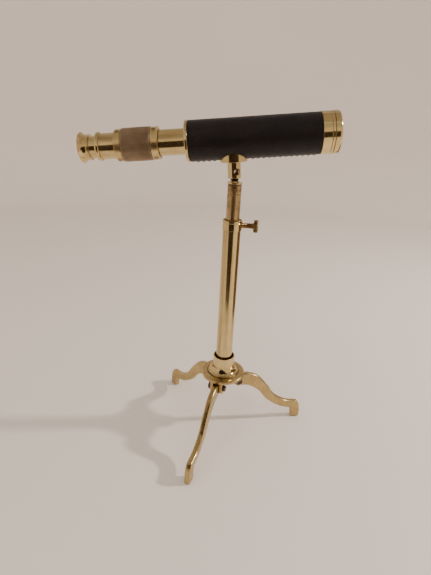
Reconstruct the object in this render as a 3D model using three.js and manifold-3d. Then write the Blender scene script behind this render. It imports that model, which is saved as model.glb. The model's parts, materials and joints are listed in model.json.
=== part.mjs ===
// Draw telescope on a folding tripod, for a table top.
//
// Millimetres, +Z up. The column stands on the Z axis while the parts are made, and the
// telescope points along +X with its objective end raised. At the end the whole group is
// moved so that its origin is the bottom centre of its box.

import * as THREE from 'three';
import { mergeVertices } from 'three/addons/utils/BufferGeometryUtils.js';
import Module from 'manifold-3d';

const wasm = await Module();
wasm.setup();

// ---------------------------------------------------------------------------
// Driving dimensions
// ---------------------------------------------------------------------------

// Clearances
const SEAT_GAP = 0.1; // faces and bores that are fixed together
const SLIDE_GAP = 0.2; // radial, where one piece slides or turns in another
const CRADLE_GAP = 0.15; // saddle to barrel, and leather edge to saddle
const CUT_MARGIN = 1; // how far a cutting tool runs past the piece it cuts

// How finely round pieces are divided
const LARGE_SIDES = 28;
const MEDIUM_SIDES = 20;
const SMALL_SIDES = 12;
const SCREW_SIDES = 10;
const HEX_SIDES = 6;

// Legs and base
const LEG_AZIMUTHS = [13.07, -106.93, 133.07];
const BASE_UNDERSIDE = 66.6;
const BASE_RADIUS = 23.2;
const BASE_THICKNESS = 4;
const BASE_EDGE_ROUND = 1.4;
const PIN_INSET = 6.4; // hinge pin in from the disc's rim
const PIN_DROP = 7.1; // hinge pin below the disc
const KNUCKLE_RADIUS = 5;
const LUG_DROP = 1.6; // centre of a lug's round end below the pin
const LEG_THICKNESS = 5.8;
const LUG_THICKNESS = 3.5;
const HINGE_SHANK_RADIUS = 1.5;
const HINGE_HEAD_RADIUS = 3.2;
const HINGE_HEAD_HEIGHT = 2.6;
const HINGE_SLOT = 0.8; // width and depth of the slot in the head
const HINGE_TIP = 0.8; // thread past the nut
const HINGE_NUT_FLATS = 6.8;
const HINGE_NUT_HEIGHT = 2.8;
const STOP_GAP = 0.4; // before a stop meets, and outside the disc's rim
const STOP_TOOTH = 3; // length of the tongue's top that stops the leg under the disc
const HIP_DROP = 1.4; // hip's top below the disc's underside
const HIP_DEPTH = 15; // hip's top to its bottom corner
const FOOT_OUTER_RADIUS = 95.5;
const FOOT_LENGTH = 10;
const FOOT_TOP = 22.2;
const FOOT_CORNER = 13.1;
const FOOT_SHOULDER = 6.7; // flat top of the foot ends this far in from its outer face
const FOOT_SIDE = 6.66; // straight part of the foot's outer face
const FOOT_SPLAY = 2; // foot's inner face leans this far in
const HIP_NOTCH = 4; // hip's bottom corner outside the pin

// Column
const SOCKET_FLARE_WIDTH = 4.7; // flared foot beyond the cup
const SOCKET_FLARE_HEIGHT = 7.4;
const SOCKET_FLOOR = 2.3;
const SOCKET_LIP = 0.9; // upright edge of the flare
const CUP_WALL = 1.05;
const CUP_MARGIN = 1.85; // open ring between the cup and the column
const CUP_HEIGHT = 12;
const SET_SCREW_AZIMUTH = -97;
const SET_SCREW_RADIUS = 2.5;
const SET_SCREW_SLOT = 0.9;
const WASHER_THICKNESS = 1;
const WASHER_MARGIN = 1.4; // washer beyond the bolt's head
const BASE_BOLT_HEAD_RADIUS = 4.6;
const BASE_BOLT_HEAD_HEIGHT = 3.4;
const BASE_BOLT_SHORT = 3; // bolt ends this far below the plug's top
const COLUMN_WALL = 1.1;
const COLUMN_LENGTH = 162.9;
const PLUG_LENGTH = 15;
const BASE_BOLT_RADIUS = 2.4;
const BUSH_LENGTH = 24;
const BUSH_WALL = 0.7;
const COLLAR_WALL = 0.6;
const COLLAR_LENGTH = 9.4;
const COLLAR_RISE = 1.1; // collar's rim above the tube's end
const THUMB_AZIMUTH = -6;
const THUMB_SHANK_RADIUS = 2.6;
const THUMB_HEAD_RADIUS = 5.9;
const THUMB_HEAD_THICKNESS = 4.1;
const THUMB_REACH = 24.2; // head's outer face from the column's axis
const THUMB_EDGE = 0.6;

// Inner pole and ball joint
const POLE_RADIUS = 6.4;
const POLE_WALL = 1;
const BALL_ABOVE_COLUMN = 33.5;
const POLE_IN_COLUMN = 86; // how far the pole reaches down into the column at rest
const GUIDE_LENGTH = 6;
const CAP_HEIGHT = 7.9; // swivel cap, from the pole's end to its top face
const CAP_FLANGE_RADIUS = 7.1;
const CAP_FLANGE_THICKNESS = 1.4;
const CAP_ABOVE_BALL = 2; // cap's top face above the ball's centre
const CAP_SPIGOT = 7;
const CAP_DRAIN_ANGLE = -60; // edge of the socket's lower opening, from its equator
const CAP_SKIN = 1.1; // swivel cap's wall around the socket
const LINER_THICKNESS = 0.4;
const LINER_EDGE_ANGLE = 70; // liner's upper edge, down from the pole's axis
const LINER_HOLE_ANGLE = 150; // liner's lower hole, down from the pole's axis
const STUD_WAIST_RADIUS = 2.4;
const STUD_COLLAR_RADIUS = 3.9;
const STUD_COLLAR_FROM = 3.8; // above the ball's centre
const STUD_GROOVE = 0.5;
const SLEEVE_FROM = 5.5; // sleeve's lower end above the ball's centre
const SLEEVE_LENGTH = 14;
const SLEEVE_RADIUS = 5.95;
const SLEEVE_BORE_RADIUS = 3.5;
const SPIGOT_LENGTH = 3;
const CROSS_HOLE_RADIUS = 3;
const CROSS_HOLE_HEIGHT = 11.1; // above the ball's centre
const CROSS_HOLE_AZIMUTH = -62;
const SADDLE_RADIUS = 12.1;
const SADDLE_WEB = 2.7; // saddle's thickness under the barrel
const SADDLE_STUB = 5.2;
const SADDLE_SCREW_RADIUS = 1.1;
const SADDLE_SCREW_HEAD = 2.1;
const SADDLE_SCREW_HEIGHT = 1.2;
const SADDLE_SCREW_SPREAD = 7;
const SADDLE_SCREW_FLOOR = 0.5; // metal left under the screw's hole
const SADDLE_SCREW_RIM = 0.25; // curved wall under the head's edge

// Telescope, along its own axis from the point over the ball
const TELESCOPE_TILT = 6.11;
const BARREL_RADIUS = 16.4;
const BARREL_WALL = 0.8;
const BARREL_BACK = -38.2;
const BARREL_FRONT = 74.1;
const LEATHER_THICKNESS = 0.57;
const RIM_STEP = 1.15; // rear flange, objective cell and dust cap beyond the barrel
const REAR_FLANGE_THICKNESS = 2.6;
const REAR_FLANGE_ROUND = 0.8;
const SPIGOT_INTO_BARREL = 6;
const CELL_LENGTH = 9.9;
const CELL_WALL = 1.1;
const CELL_LEDGE = 1.5; // width of the shoulder inside the cell
const CELL_SEAT = 1.2; // length of the shoulder that the objective lens rests on
const LENS_EDGE_THICKNESS = 2.6;
const LENS_CROWN = 1.3;
const RETAINER_STEP = 0.4; // retaining ring's bore beyond the cell's aperture
const RETAINER_LENGTH = 1.5;
const DUST_CAP_LENGTH = 5.6;
const DUST_CAP_ROUND = 3;
const DUST_CAP_SPIGOT = 1.2;
const DUST_CAP_HOLLOW = 3.4;

// Draw tube and focusing barrel
const DRAW_RADIUS = 10.95;
const DRAW_WALL = 0.6;
const DRAW_SHOWN = 23.2;
const DRAW_OVERLAP = 48; // draw tube inside the main barrel at rest
const DRAW_TRAVEL_OUT = 18;
const DRAW_IN_HOUSING = 11;
const GUIDE_RING_LENGTH = 4;
const STOP_RING_LENGTH = 2;
const STOP_RING_MARGIN = 0.7; // stop ring clear of the saddle screws' heads
const HOUSING_WALL = 1.05;
const DRAW_COLLAR_STEP = 1.55; // beyond the focus housing
const DRAW_COLLAR_LENGTH = 6.2;
const FOCUS_RING_STEP = 1.95; // beyond the focus housing
const FOCUS_RING_LENGTH = 25.8;
const FOCUS_RING_ROUND = 0.6;
const CAM_STEPS = 20;
const EYE_COLLAR_STEP = 1.35; // beyond the focus housing
const EYE_COLLAR_LENGTH = 5.6;
const COLLAR_ROUND = 0.5;
const COLLAR_SCREW_HEAD_RADIUS = 2;
const COLLAR_SCREW_ROUND = 0.4;
const COLLAR_SCREW_SLOT = 0.5;
const COLLAR_SCREW_HEAD_HEIGHT = 1.3;
const COLLAR_SCREW_PROUD = 0.6;
const COLLAR_SCREW_SHANK_RADIUS = 0.9;
const COLLAR_SCREW_ANGLES = [120, 240, 0]; // about the telescope's axis, from +Y
const CAM_PIN_RADIUS = 1;
const CAM_ANGLE = -90; // azimuth of the pin about the telescope's axis, from +Y
const FOCUS_TURN = 100; // degrees each way
const FOCUS_TRAVEL = 5; // travel each way
const CAM_CLEARANCE = 0.3;
const CAM_DEPTH = 0.85; // how deep the pin sits in the ring's groove
const ERECTOR_LENGTH = 16;
const ERECTOR_RIM = 2.45; // erector cell's wall around its lenses
const ERECTOR_LENS_THICKNESS = 2.2;
const ERECTOR_LENS_CROWN = 0.4;
const ERECTOR_LEDGE = 1.8;

// Eyepiece
const EYE_TUBE_WALL = 1;
const EYE_TUBE_SHOWN = 14;
const EYE_TUBE_INSIDE = 20.2; // eyepiece tube inside the focusing barrel at rest
const EYE_RING_STEP = 1.35; // beyond the eyepiece tube
const EYE_RING_LENGTH = 3.6;
const EYE_RING_FOOT = 0.15; // thickness of the ring at its two edges
const EYE_NECK_STEP = 0.5; // neck smaller than the eyepiece tube's bore
const EYE_NECK_LENGTH = 6.1;
const EYECUP_LENGTH = 8.7;
const EYECUP_RIM_STEP = 0.15; // beyond the eyepiece tube
const EYECUP_WAIST_STEP = 0.35; // smaller than the eyepiece tube
const EYECUP_LIP_STEP = 2.15; // beyond the eyepiece tube
const EYECUP_DISH = 3.6;
const EYE_HOLE_RADIUS = 3.2;
const EYECUP_FLOOR = 1.2;
const EYECUP_LIP_WIDTH = 1.2;
const EYECUP_LIP_LENGTH = 1;
const EYECUP_LIP_ROUND = 0.4;
const EYECUP_RIM_LENGTH = 1.6;
const EYECUP_BEAD_LENGTH = 0.8;
const EYE_STEM_INSIDE = 5;
const EYE_STEM_WALL = 1.75;
const EYE_LENS_THICKNESS = 2.4;
const EYE_LENS_CROWN = 0.5;
const FIELD_STOP_RADIUS = 5;
const FIELD_STOP_THICKNESS = 1.2;
const FIELD_LENS_FROM_STEM = 12;
const FIELD_LENS_EDGE = 1.2;
const FIELD_LENS_CROWN = 0.7;

// ---------------------------------------------------------------------------
// Places that follow from the dimensions
// ---------------------------------------------------------------------------

const pinRadius = BASE_RADIUS - PIN_INSET;
const pinHeight = BASE_UNDERSIDE - PIN_DROP;
const lugInner = LEG_THICKNESS / 2 + SLIDE_GAP;
const lugOuter = lugInner + LUG_THICKNESS;
const baseTop = BASE_UNDERSIDE + BASE_THICKNESS;
const socketBottom = baseTop + SEAT_GAP;
const cupBottom = socketBottom + SOCKET_FLARE_HEIGHT;
const columnBottom = socketBottom + SOCKET_FLOOR + SEAT_GAP;
const columnTop = columnBottom + COLUMN_LENGTH;
const columnBore = POLE_RADIUS + SLIDE_GAP + BUSH_WALL + SEAT_GAP;
const columnRadius = columnBore + COLUMN_WALL;
const cupBore = columnRadius + CUP_MARGIN;
const cupRadius = cupBore + CUP_WALL;
const flareRadius = cupRadius + SOCKET_FLARE_WIDTH;
const collarTop = columnTop + COLLAR_RISE;
const collarBottom = collarTop - COLLAR_LENGTH;
const thumbHeight = (collarTop + collarBottom) / 2 + SEAT_GAP;
const ballHeight = columnTop + BALL_ABOVE_COLUMN;
const capTop = ballHeight + CAP_ABOVE_BALL;
const poleTop = capTop - CAP_HEIGHT;
const poleBottom = columnTop - POLE_IN_COLUMN;
const poleBore = POLE_RADIUS - POLE_WALL;
const socketRadius = POLE_RADIUS - CAP_SKIN;
const linerOuter = socketRadius - SLIDE_GAP;
const linerInner = linerOuter - LINER_THICKNESS;
const ballRadius = linerInner - SLIDE_GAP;
const sleeveTop = SLEEVE_FROM + SLEEVE_LENGTH;
const saddleBottom = sleeveTop + SEAT_GAP;
const axisHeight = saddleBottom + SADDLE_WEB + CRADLE_GAP + BARREL_RADIUS;
const barrelBore = BARREL_RADIUS - BARREL_WALL;
const rimRadius = BARREL_RADIUS + RIM_STEP;
const cellBore = barrelBore - CELL_WALL;
const cellAperture = cellBore - CELL_LEDGE;
const flangeFront = BARREL_BACK - SEAT_GAP;
const flangeBack = flangeFront - REAR_FLANGE_THICKNESS;
const cellBack = BARREL_FRONT + 2 * SEAT_GAP;
const cellFront = cellBack + CELL_LENGTH;
const capBack = cellFront + SEAT_GAP;
const lensSag = LENS_CROWN * (1 - (cellAperture / cellBore) ** 2);
const drawBore = DRAW_RADIUS - DRAW_WALL;
const erectorLensRadius = drawBore - SEAT_GAP - ERECTOR_RIM - SEAT_GAP;
const housingBore = DRAW_RADIUS + SLIDE_GAP;
const housingRadius = housingBore + HOUSING_WALL;
const drawCollarRadius = housingRadius + DRAW_COLLAR_STEP;
const focusRingRadius = housingRadius + FOCUS_RING_STEP;
const eyeCollarRadius = housingRadius + EYE_COLLAR_STEP;
const stopRingRadius = barrelBore - SADDLE_SCREW_HEIGHT - STOP_RING_MARGIN;
const housingFront = flangeBack - DRAW_SHOWN;
const drawCollarBack = housingFront - DRAW_COLLAR_LENGTH;
const ringFront = drawCollarBack - SLIDE_GAP;
const ringBack = ringFront - FOCUS_RING_LENGTH;
const eyeCollarFront = ringBack - SLIDE_GAP;
const housingBack = eyeCollarFront - EYE_COLLAR_LENGTH;
const camCentre = (ringFront + ringBack) / 2;
const camPinTip = housingRadius + 2 * SLIDE_GAP + CAM_DEPTH;
const drawBack = housingFront - DRAW_IN_HOUSING;
const drawFront = flangeBack + DRAW_OVERLAP;
const stopRingBack = drawFront - STOP_RING_LENGTH;
const guideRingFront = stopRingBack - DRAW_TRAVEL_OUT - STOP_GAP;
const eyeTubeFront = housingBack + EYE_TUBE_INSIDE;
const eyeTubeBore = DRAW_RADIUS - EYE_TUBE_WALL;
const eyeRingRadius = DRAW_RADIUS + EYE_RING_STEP;
const eyeNeckRadius = eyeTubeBore - EYE_NECK_STEP;
const eyeLensRadius = eyeNeckRadius - EYE_STEM_WALL - SEAT_GAP;
const eyeRingFront = housingBack - EYE_TUBE_SHOWN;
const eyeTubeBack = eyeRingFront - EYE_RING_LENGTH;
const eyecupFront = eyeTubeBack - EYE_NECK_LENGTH;
const eyecupBack = eyecupFront - EYECUP_LENGTH;

// ---------------------------------------------------------------------------
// Materials
// ---------------------------------------------------------------------------

function material(color, roughness, metalness) {
  return new THREE.MeshStandardMaterial({ color, roughness, metalness });
}

const polishedBrass = material(0xb99a5b, 0.18, 1);
const agedBrass = material(0x7a5a3c, 0.38, 1);
const knurledBrass = material(0x80604a, 0.45, 1);
const darkSteel = material(0x2b2420, 0.5, 1);
const blackLeather = material(0x1d1718, 0.55, 0);
const opticalGlass = material(0xdfe8ea, 0.02, 0);
const linerPlastic = material(0x6b5638, 0.6, 0);

// ---------------------------------------------------------------------------
// Making solids
// ---------------------------------------------------------------------------

const MERGE_DISTANCE = 1e-4;

const radians = THREE.MathUtils.degToRad;

// Turns a closed three.js geometry into a solid that can be joined and cut.
function solid(geometry) {
  geometry.deleteAttribute('normal');
  geometry.deleteAttribute('uv');
  const merged = mergeVertices(geometry, MERGE_DISTANCE);
  const corners = merged.index.array;
  const places = merged.attributes.position;
  const a = new THREE.Vector3();
  const b = new THREE.Vector3();
  const c = new THREE.Vector3();
  const kept = [];
  let volume = 0;
  for (let i = 0; i < corners.length; i += 3) {
    const [p, q, r] = corners.slice(i, i + 3);
    if (p === q || q === r || r === p) continue;
    kept.push(p, q, r);
    a.fromBufferAttribute(places, p);
    b.fromBufferAttribute(places, q);
    c.fromBufferAttribute(places, r);
    volume += a.dot(b.cross(c));
  }
  if (volume < 0) kept.reverse();
  return new wasm.Manifold(new wasm.Mesh({
    numProp: 3,
    vertProperties: new Float32Array(places.array),
    triVerts: new Uint32Array(kept),
  }));
}

// Turns a solid back into a mesh with a name.
function piece(name, body, look) {
  const { vertProperties, triVerts } = body.getMesh();
  const geometry = new THREE.BufferGeometry();
  geometry.setAttribute('position', new THREE.BufferAttribute(vertProperties, 3));
  geometry.setIndex(new THREE.BufferAttribute(triVerts, 1));
  geometry.computeVertexNormals();
  const mesh = new THREE.Mesh(geometry, look);
  mesh.name = name;
  return mesh;
}

// A round body turned about the Y axis of its own profile of [radius, height] points.
function turnedGeometry(profile, sides) {
  const points = profile.map(([radius, height]) => new THREE.Vector2(radius, height));
  const solidCore = profile[0][0] === 0 && profile[profile.length - 1][0] === 0;
  if (!solidCore) points.push(points[0].clone());
  return new THREE.LatheGeometry(points, sides);
}

function turnedUp(profile, sides) {
  return solid(turnedGeometry(profile, sides).rotateX(Math.PI / 2));
}

function turnedAlong(profile, sides) {
  return solid(turnedGeometry(profile, sides).rotateZ(-Math.PI / 2));
}

// Profiles of a plain rod and of a plain tube.
function rod(radius, from, to) {
  return [[0, from], [radius, from], [radius, to], [0, to]];
}

function tube(bore, radius, from, to) {
  return [[bore, from], [radius, from], [radius, to], [bore, to]];
}

// Points on an arc of a profile, from one angle to another in degrees.
function arc(radiusCentre, heightCentre, size, from, to, steps) {
  return Array.from({ length: steps + 1 }, (_, i) => {
    const angle = radians(from + (to - from) * i / steps);
    return [radiusCentre + size * Math.cos(angle), heightCentre + size * Math.sin(angle)];
  });
}

// A rod along +X from the origin's axis, turned by an azimuth about Z and raised.
function radialRod(profile, azimuth, height, sides) {
  const geometry = turnedGeometry(profile, sides).rotateZ(-Math.PI / 2);
  geometry.rotateZ(radians(azimuth)).translate(0, 0, height);
  return solid(geometry);
}

// A rod that leaves the telescope's axis at an angle about it, at a place along it.
function spoke(profile, angle, along, sides) {
  const geometry = turnedGeometry(profile, sides);
  geometry.rotateX(radians(angle)).translate(along, 0, 0);
  return solid(geometry);
}

function block(width, depth, height, x, y, z) {
  return solid(new THREE.BoxGeometry(width, depth, height).translate(x, y, z));
}

// A flat outline in the XZ plane, given a thickness along Y about the plane.
function plate(shape, thickness, offset, curveSegments) {
  const options = { depth: thickness, bevelEnabled: false, curveSegments };
  const geometry = new THREE.ExtrudeGeometry(shape, options);
  return solid(geometry.rotateX(Math.PI / 2).translate(0, offset + thickness / 2, 0));
}

// A lens with both faces crowned, along the telescope's axis.
function lens(radius, edge, crown, middle, sides) {
  const rings = 2;
  const face = (sign) => Array.from({ length: rings + 1 }, (_, i) => {
    const share = i / rings;
    return [radius * share, middle + sign * (edge / 2 + crown * (1 - share * share))];
  });
  return turnedAlong([...face(-1), ...face(1).reverse()], sides);
}

// ---------------------------------------------------------------------------
// Legs, base and column
// ---------------------------------------------------------------------------

// A point in a box between two corners, by its shares of the way across and down.
function between(from, to, shares) {
  return shares.map(([across, down]) => new THREE.Vector2(
    from[0] + (to[0] - from[0]) * across,
    from[1] + (to[1] - from[1]) * down,
  ));
}

function leg(index) {
  const hipFace = BASE_RADIUS + STOP_GAP;
  const hipTop = BASE_UNDERSIDE - HIP_DROP;
  const hipBottom = hipTop - HIP_DEPTH;
  const stopTop = BASE_UNDERSIDE - SLIDE_GAP;
  const stopEnd = pinRadius + STOP_TOOTH;
  const footInner = FOOT_OUTER_RADIUS - FOOT_LENGTH;
  const footHeel = footInner - FOOT_SPLAY;
  const shoulder = FOOT_OUTER_RADIUS - FOOT_SHOULDER;
  const upper = [[0.1, 0.014], [0.27, 0.13], [0.45, 0.44], [0.545, 0.654],
    [0.64, 0.8], [0.815, 0.951], [1, 1]];
  const lower = [[0.88, 0.962], [0.7, 0.83], [0.51, 0.593], [0.415, 0.391],
    [0.32, 0.21], [0.147, 0.03], [0, 0]];
  const outline = new THREE.Shape();
  outline.moveTo(pinRadius, stopTop);
  outline.lineTo(stopEnd, stopTop);
  outline.lineTo(stopEnd + stopTop - hipTop, hipTop);
  outline.lineTo(hipFace, hipTop);
  outline.splineThru(between([hipFace, hipTop], [shoulder, FOOT_TOP], upper));
  const drop = FOOT_TOP - FOOT_SIDE;
  outline.ellipse(0, -drop, FOOT_SHOULDER, drop, Math.PI / 2, 0, true);
  outline.lineTo(FOOT_OUTER_RADIUS, 0);
  outline.lineTo(footInner, 0);
  outline.lineTo(footHeel, FOOT_CORNER);
  const hipCorner = [pinRadius + HIP_NOTCH, hipBottom];
  outline.splineThru(between(hipCorner, [footHeel, FOOT_CORNER], lower));
  outline.lineTo(pinRadius, pinHeight - KNUCKLE_RADIUS);
  outline.absarc(pinRadius, pinHeight, KNUCKLE_RADIUS, -Math.PI / 2, -1.5 * Math.PI, true);
  const bore = new THREE.Path();
  bore.absarc(pinRadius, pinHeight, HINGE_SHANK_RADIUS + SLIDE_GAP, 0, 2 * Math.PI);
  outline.holes.push(bore);
  return piece(`leg_${index}`, plate(outline, LEG_THICKNESS, 0, 4), polishedBrass);
}

function lug(side) {
  const outline = new THREE.Shape();
  outline.moveTo(pinRadius - KNUCKLE_RADIUS, BASE_UNDERSIDE + CUT_MARGIN);
  outline.lineTo(pinRadius - KNUCKLE_RADIUS, pinHeight - LUG_DROP);
  outline.absarc(pinRadius, pinHeight - LUG_DROP, KNUCKLE_RADIUS, Math.PI, 2 * Math.PI);
  outline.lineTo(pinRadius + KNUCKLE_RADIUS, BASE_UNDERSIDE + CUT_MARGIN);
  const bore = new THREE.Path();
  bore.absarc(pinRadius, pinHeight, HINGE_SHANK_RADIUS + SLIDE_GAP, 0, 2 * Math.PI);
  outline.holes.push(bore);
  return plate(outline, LUG_THICKNESS, side * (lugInner + lugOuter) / 2, 4);
}

function baseDisc() {
  const hole = BASE_BOLT_RADIUS + SEAT_GAP;
  const inset = BASE_RADIUS - BASE_EDGE_ROUND;
  let disc = turnedUp([
    [hole, BASE_UNDERSIDE],
    ...arc(inset, BASE_UNDERSIDE + BASE_EDGE_ROUND, BASE_EDGE_ROUND, -90, 0, 2),
    ...arc(inset, baseTop - BASE_EDGE_ROUND, BASE_EDGE_ROUND, 0, 90, 2),
    [hole, baseTop],
  ], LARGE_SIDES);
  for (const azimuth of LEG_AZIMUTHS) {
    for (const side of [-1, 1]) {
      disc = disc.add(lug(side).rotate([0, 0, azimuth]));
    }
  }
  return piece('base_disc', disc, polishedBrass);
}

// Slotted screw through a leg's knuckle: head on one side, thread's end in the nut.
function hingeScrew(index) {
  const under = lugOuter + SEAT_GAP;
  const tip = -(under + HINGE_NUT_HEIGHT + HINGE_TIP);
  const head = under + HINGE_HEAD_HEIGHT;
  let screw = solid(turnedGeometry([
    [0, tip], [HINGE_SHANK_RADIUS, tip], [HINGE_SHANK_RADIUS, under],
    [HINGE_HEAD_RADIUS, under], [HINGE_HEAD_RADIUS, head], [0, head],
  ], SCREW_SIDES));
  screw = screw.subtract(block(2 * HINGE_HEAD_RADIUS + CUT_MARGIN, 2 * HINGE_SLOT, HINGE_SLOT, 0, head, 0));
  return atPin(piece(`hinge_screw_${index}`, screw, darkSteel));
}

function hingeNut(index) {
  const acrossCorners = HINGE_NUT_FLATS / Math.cos(Math.PI / HEX_SIDES) / 2;
  const face = -(lugOuter + SEAT_GAP);
  const nut = solid(turnedGeometry(rod(acrossCorners, face - HINGE_NUT_HEIGHT, face), HEX_SIDES));
  const bore = rod(HINGE_SHANK_RADIUS + SEAT_GAP, face - HINGE_NUT_HEIGHT - CUT_MARGIN, CUT_MARGIN);
  const hole = solid(turnedGeometry(bore, SCREW_SIDES));
  return atPin(piece(`hinge_nut_${index}`, nut.subtract(hole), darkSteel));
}

function atPin(mesh) {
  mesh.position.set(pinRadius, 0, pinHeight);
  return mesh;
}

function columnSocket() {
  const flareTop = socketBottom + SOCKET_FLARE_HEIGHT;
  const lip = SOCKET_LIP;
  const sweep = Array.from({ length: 5 }, (_, i) => {
    const share = i / 4;
    const radius = flareRadius + (cupRadius - flareRadius) * Math.sin(share * Math.PI / 2);
    const rise = 1 - Math.cos(share * Math.PI / 2);
    return [radius, socketBottom + lip + (flareTop - socketBottom - lip) * rise];
  });
  const floor = socketBottom + SOCKET_FLOOR;
  const cup = turnedUp([
    [BASE_BOLT_RADIUS + SEAT_GAP, socketBottom],
    [flareRadius, socketBottom],
    ...sweep,
    [cupRadius, cupBottom + CUP_HEIGHT],
    [cupBore, cupBottom + CUP_HEIGHT],
    [cupBore, cupBottom],
    [columnRadius + SEAT_GAP, cupBottom],
    [columnRadius + SEAT_GAP, floor],
    [BASE_BOLT_RADIUS + SEAT_GAP, floor],
  ], LARGE_SIDES);
  const hole = rod(SET_SCREW_RADIUS, columnRadius - CUT_MARGIN, flareRadius);
  const height = setScrewHeight();
  const body = cup.subtract(radialRod(hole, SET_SCREW_AZIMUTH, height, SMALL_SIDES));
  return piece('column_socket', body, polishedBrass);
}

function setScrewHeight() {
  return cupBottom - SET_SCREW_RADIUS - SEAT_GAP;
}

// Headless slotted screw that locks the column in its socket.
function columnSetScrew() {
  const from = columnRadius + SEAT_GAP;
  const to = cupRadius - SET_SCREW_SLOT / 2;
  const profile = rod(SET_SCREW_RADIUS - SEAT_GAP, from, to);
  const slot = block(SET_SCREW_SLOT, 2 * SET_SCREW_RADIUS + CUT_MARGIN, SET_SCREW_SLOT, to, 0, 0);
  const turned = slot.rotate([0, 0, SET_SCREW_AZIMUTH]).translate([0, 0, setScrewHeight()]);
  const screw = radialRod(profile, SET_SCREW_AZIMUTH, setScrewHeight(), SCREW_SIDES);
  return piece('column_set_screw', screw.subtract(turned), darkSteel);
}

function baseWasher() {
  const top = BASE_UNDERSIDE - SEAT_GAP;
  const radius = BASE_BOLT_HEAD_RADIUS + WASHER_MARGIN;
  const profile = tube(BASE_BOLT_RADIUS + SEAT_GAP, radius, top - WASHER_THICKNESS, top);
  return piece('base_washer', turnedUp(profile, SMALL_SIDES), agedBrass);
}

function baseBolt() {
  const under = BASE_UNDERSIDE - WASHER_THICKNESS - 2 * SEAT_GAP;
  const tip = columnBottom + PLUG_LENGTH - BASE_BOLT_SHORT;
  const head = turnedUp(rod(BASE_BOLT_HEAD_RADIUS, under - BASE_BOLT_HEAD_HEIGHT, under), HEX_SIDES);
  const shank = turnedUp(rod(BASE_BOLT_RADIUS, under - CUT_MARGIN, tip), SMALL_SIDES);
  return piece('base_bolt', head.add(shank), darkSteel);
}

function columnPlug() {
  const bore = BASE_BOLT_RADIUS + SEAT_GAP;
  const profile = tube(bore, columnBore - SEAT_GAP, columnBottom, columnBottom + PLUG_LENGTH);
  return piece('column_plug', turnedUp(profile, SMALL_SIDES), agedBrass);
}

// Hole that the thumbscrew passes through, in the collar, the column and its bush.
function thumbHole() {
  const profile = rod(THUMB_SHANK_RADIUS + SLIDE_GAP, 0, columnRadius + COLLAR_WALL + CUT_MARGIN);
  return radialRod(profile, THUMB_AZIMUTH, thumbHeight, SMALL_SIDES);
}

function columnTube() {
  const wall = turnedUp(tube(columnBore, columnRadius, columnBottom, columnTop), MEDIUM_SIDES);
  return piece('column_tube', wall.subtract(thumbHole()), polishedBrass);
}

function columnBush() {
  const profile = tube(POLE_RADIUS + SLIDE_GAP, columnBore - SEAT_GAP, columnTop - BUSH_LENGTH, columnTop);
  return piece('column_bush', turnedUp(profile, MEDIUM_SIDES).subtract(thumbHole()), agedBrass);
}

function columnCollar() {
  const bore = columnRadius + SEAT_GAP;
  const profile = tube(bore, bore + COLLAR_WALL, collarBottom, collarTop);
  return piece('column_collar', turnedUp(profile, MEDIUM_SIDES).subtract(thumbHole()), polishedBrass);
}

function thumbScrew() {
  const tip = POLE_RADIUS + SLIDE_GAP;
  const neck = THUMB_REACH - THUMB_HEAD_THICKNESS;
  const edge = THUMB_EDGE;
  const profile = [
    [0, tip], [THUMB_SHANK_RADIUS, tip], [THUMB_SHANK_RADIUS, neck],
    [THUMB_HEAD_RADIUS - edge, neck], [THUMB_HEAD_RADIUS, neck + edge],
    [THUMB_HEAD_RADIUS, THUMB_REACH - edge], [THUMB_HEAD_RADIUS - edge, THUMB_REACH],
    [0, THUMB_REACH],
  ];
  return piece('thumb_screw', radialRod(profile, THUMB_AZIMUTH, thumbHeight, SMALL_SIDES), agedBrass);
}

// ---------------------------------------------------------------------------
// Inner pole and ball joint
// ---------------------------------------------------------------------------

function innerPole() {
  const profile = tube(poleBore, POLE_RADIUS, poleBottom, poleTop);
  return piece('inner_pole', turnedUp(profile, MEDIUM_SIDES), agedBrass);
}

// Ring at the pole's lower end, which stops it under the bush when it is drawn out.
function poleGuide() {
  const profile = tube(POLE_RADIUS + SEAT_GAP, columnBore - SLIDE_GAP, poleBottom, poleBottom + GUIDE_LENGTH);
  return piece('pole_guide', turnedUp(profile, MEDIUM_SIDES), agedBrass);
}

// Cap on the pole, hollowed to a spherical socket, open at the top and at the bottom.
function swivelCap() {
  const shoulder = poleTop + SEAT_GAP;
  const lipAngle = THREE.MathUtils.radToDeg(Math.asin(CAP_ABOVE_BALL / socketRadius));
  const drain = CAP_DRAIN_ANGLE;
  const throat = socketRadius * Math.cos(radians(drain));
  const spigotRadius = poleBore - SEAT_GAP;
  const profile = [
    [throat, shoulder - CAP_SPIGOT],
    [spigotRadius, shoulder - CAP_SPIGOT],
    [spigotRadius, shoulder],
    [POLE_RADIUS, shoulder],
    [POLE_RADIUS, capTop - CAP_FLANGE_THICKNESS],
    [CAP_FLANGE_RADIUS, capTop - CAP_FLANGE_THICKNESS],
    [CAP_FLANGE_RADIUS, capTop],
    ...arc(0, ballHeight, socketRadius, lipAngle, drain, 5),
  ];
  return piece('swivel_cap', turnedUp(profile, MEDIUM_SIDES), polishedBrass);
}

// Thin spherical shell between the ball and the socket.
function ballLiner() {
  const upper = 90 - LINER_EDGE_ANGLE;
  const lower = 90 - LINER_HOLE_ANGLE;
  const profile = [
    ...arc(0, ballHeight, linerOuter, lower, upper, 5),
    ...arc(0, ballHeight, linerInner, upper, lower, 5),
  ];
  return piece('ball_liner', turnedUp(profile, MEDIUM_SIDES), linerPlastic);
}

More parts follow.
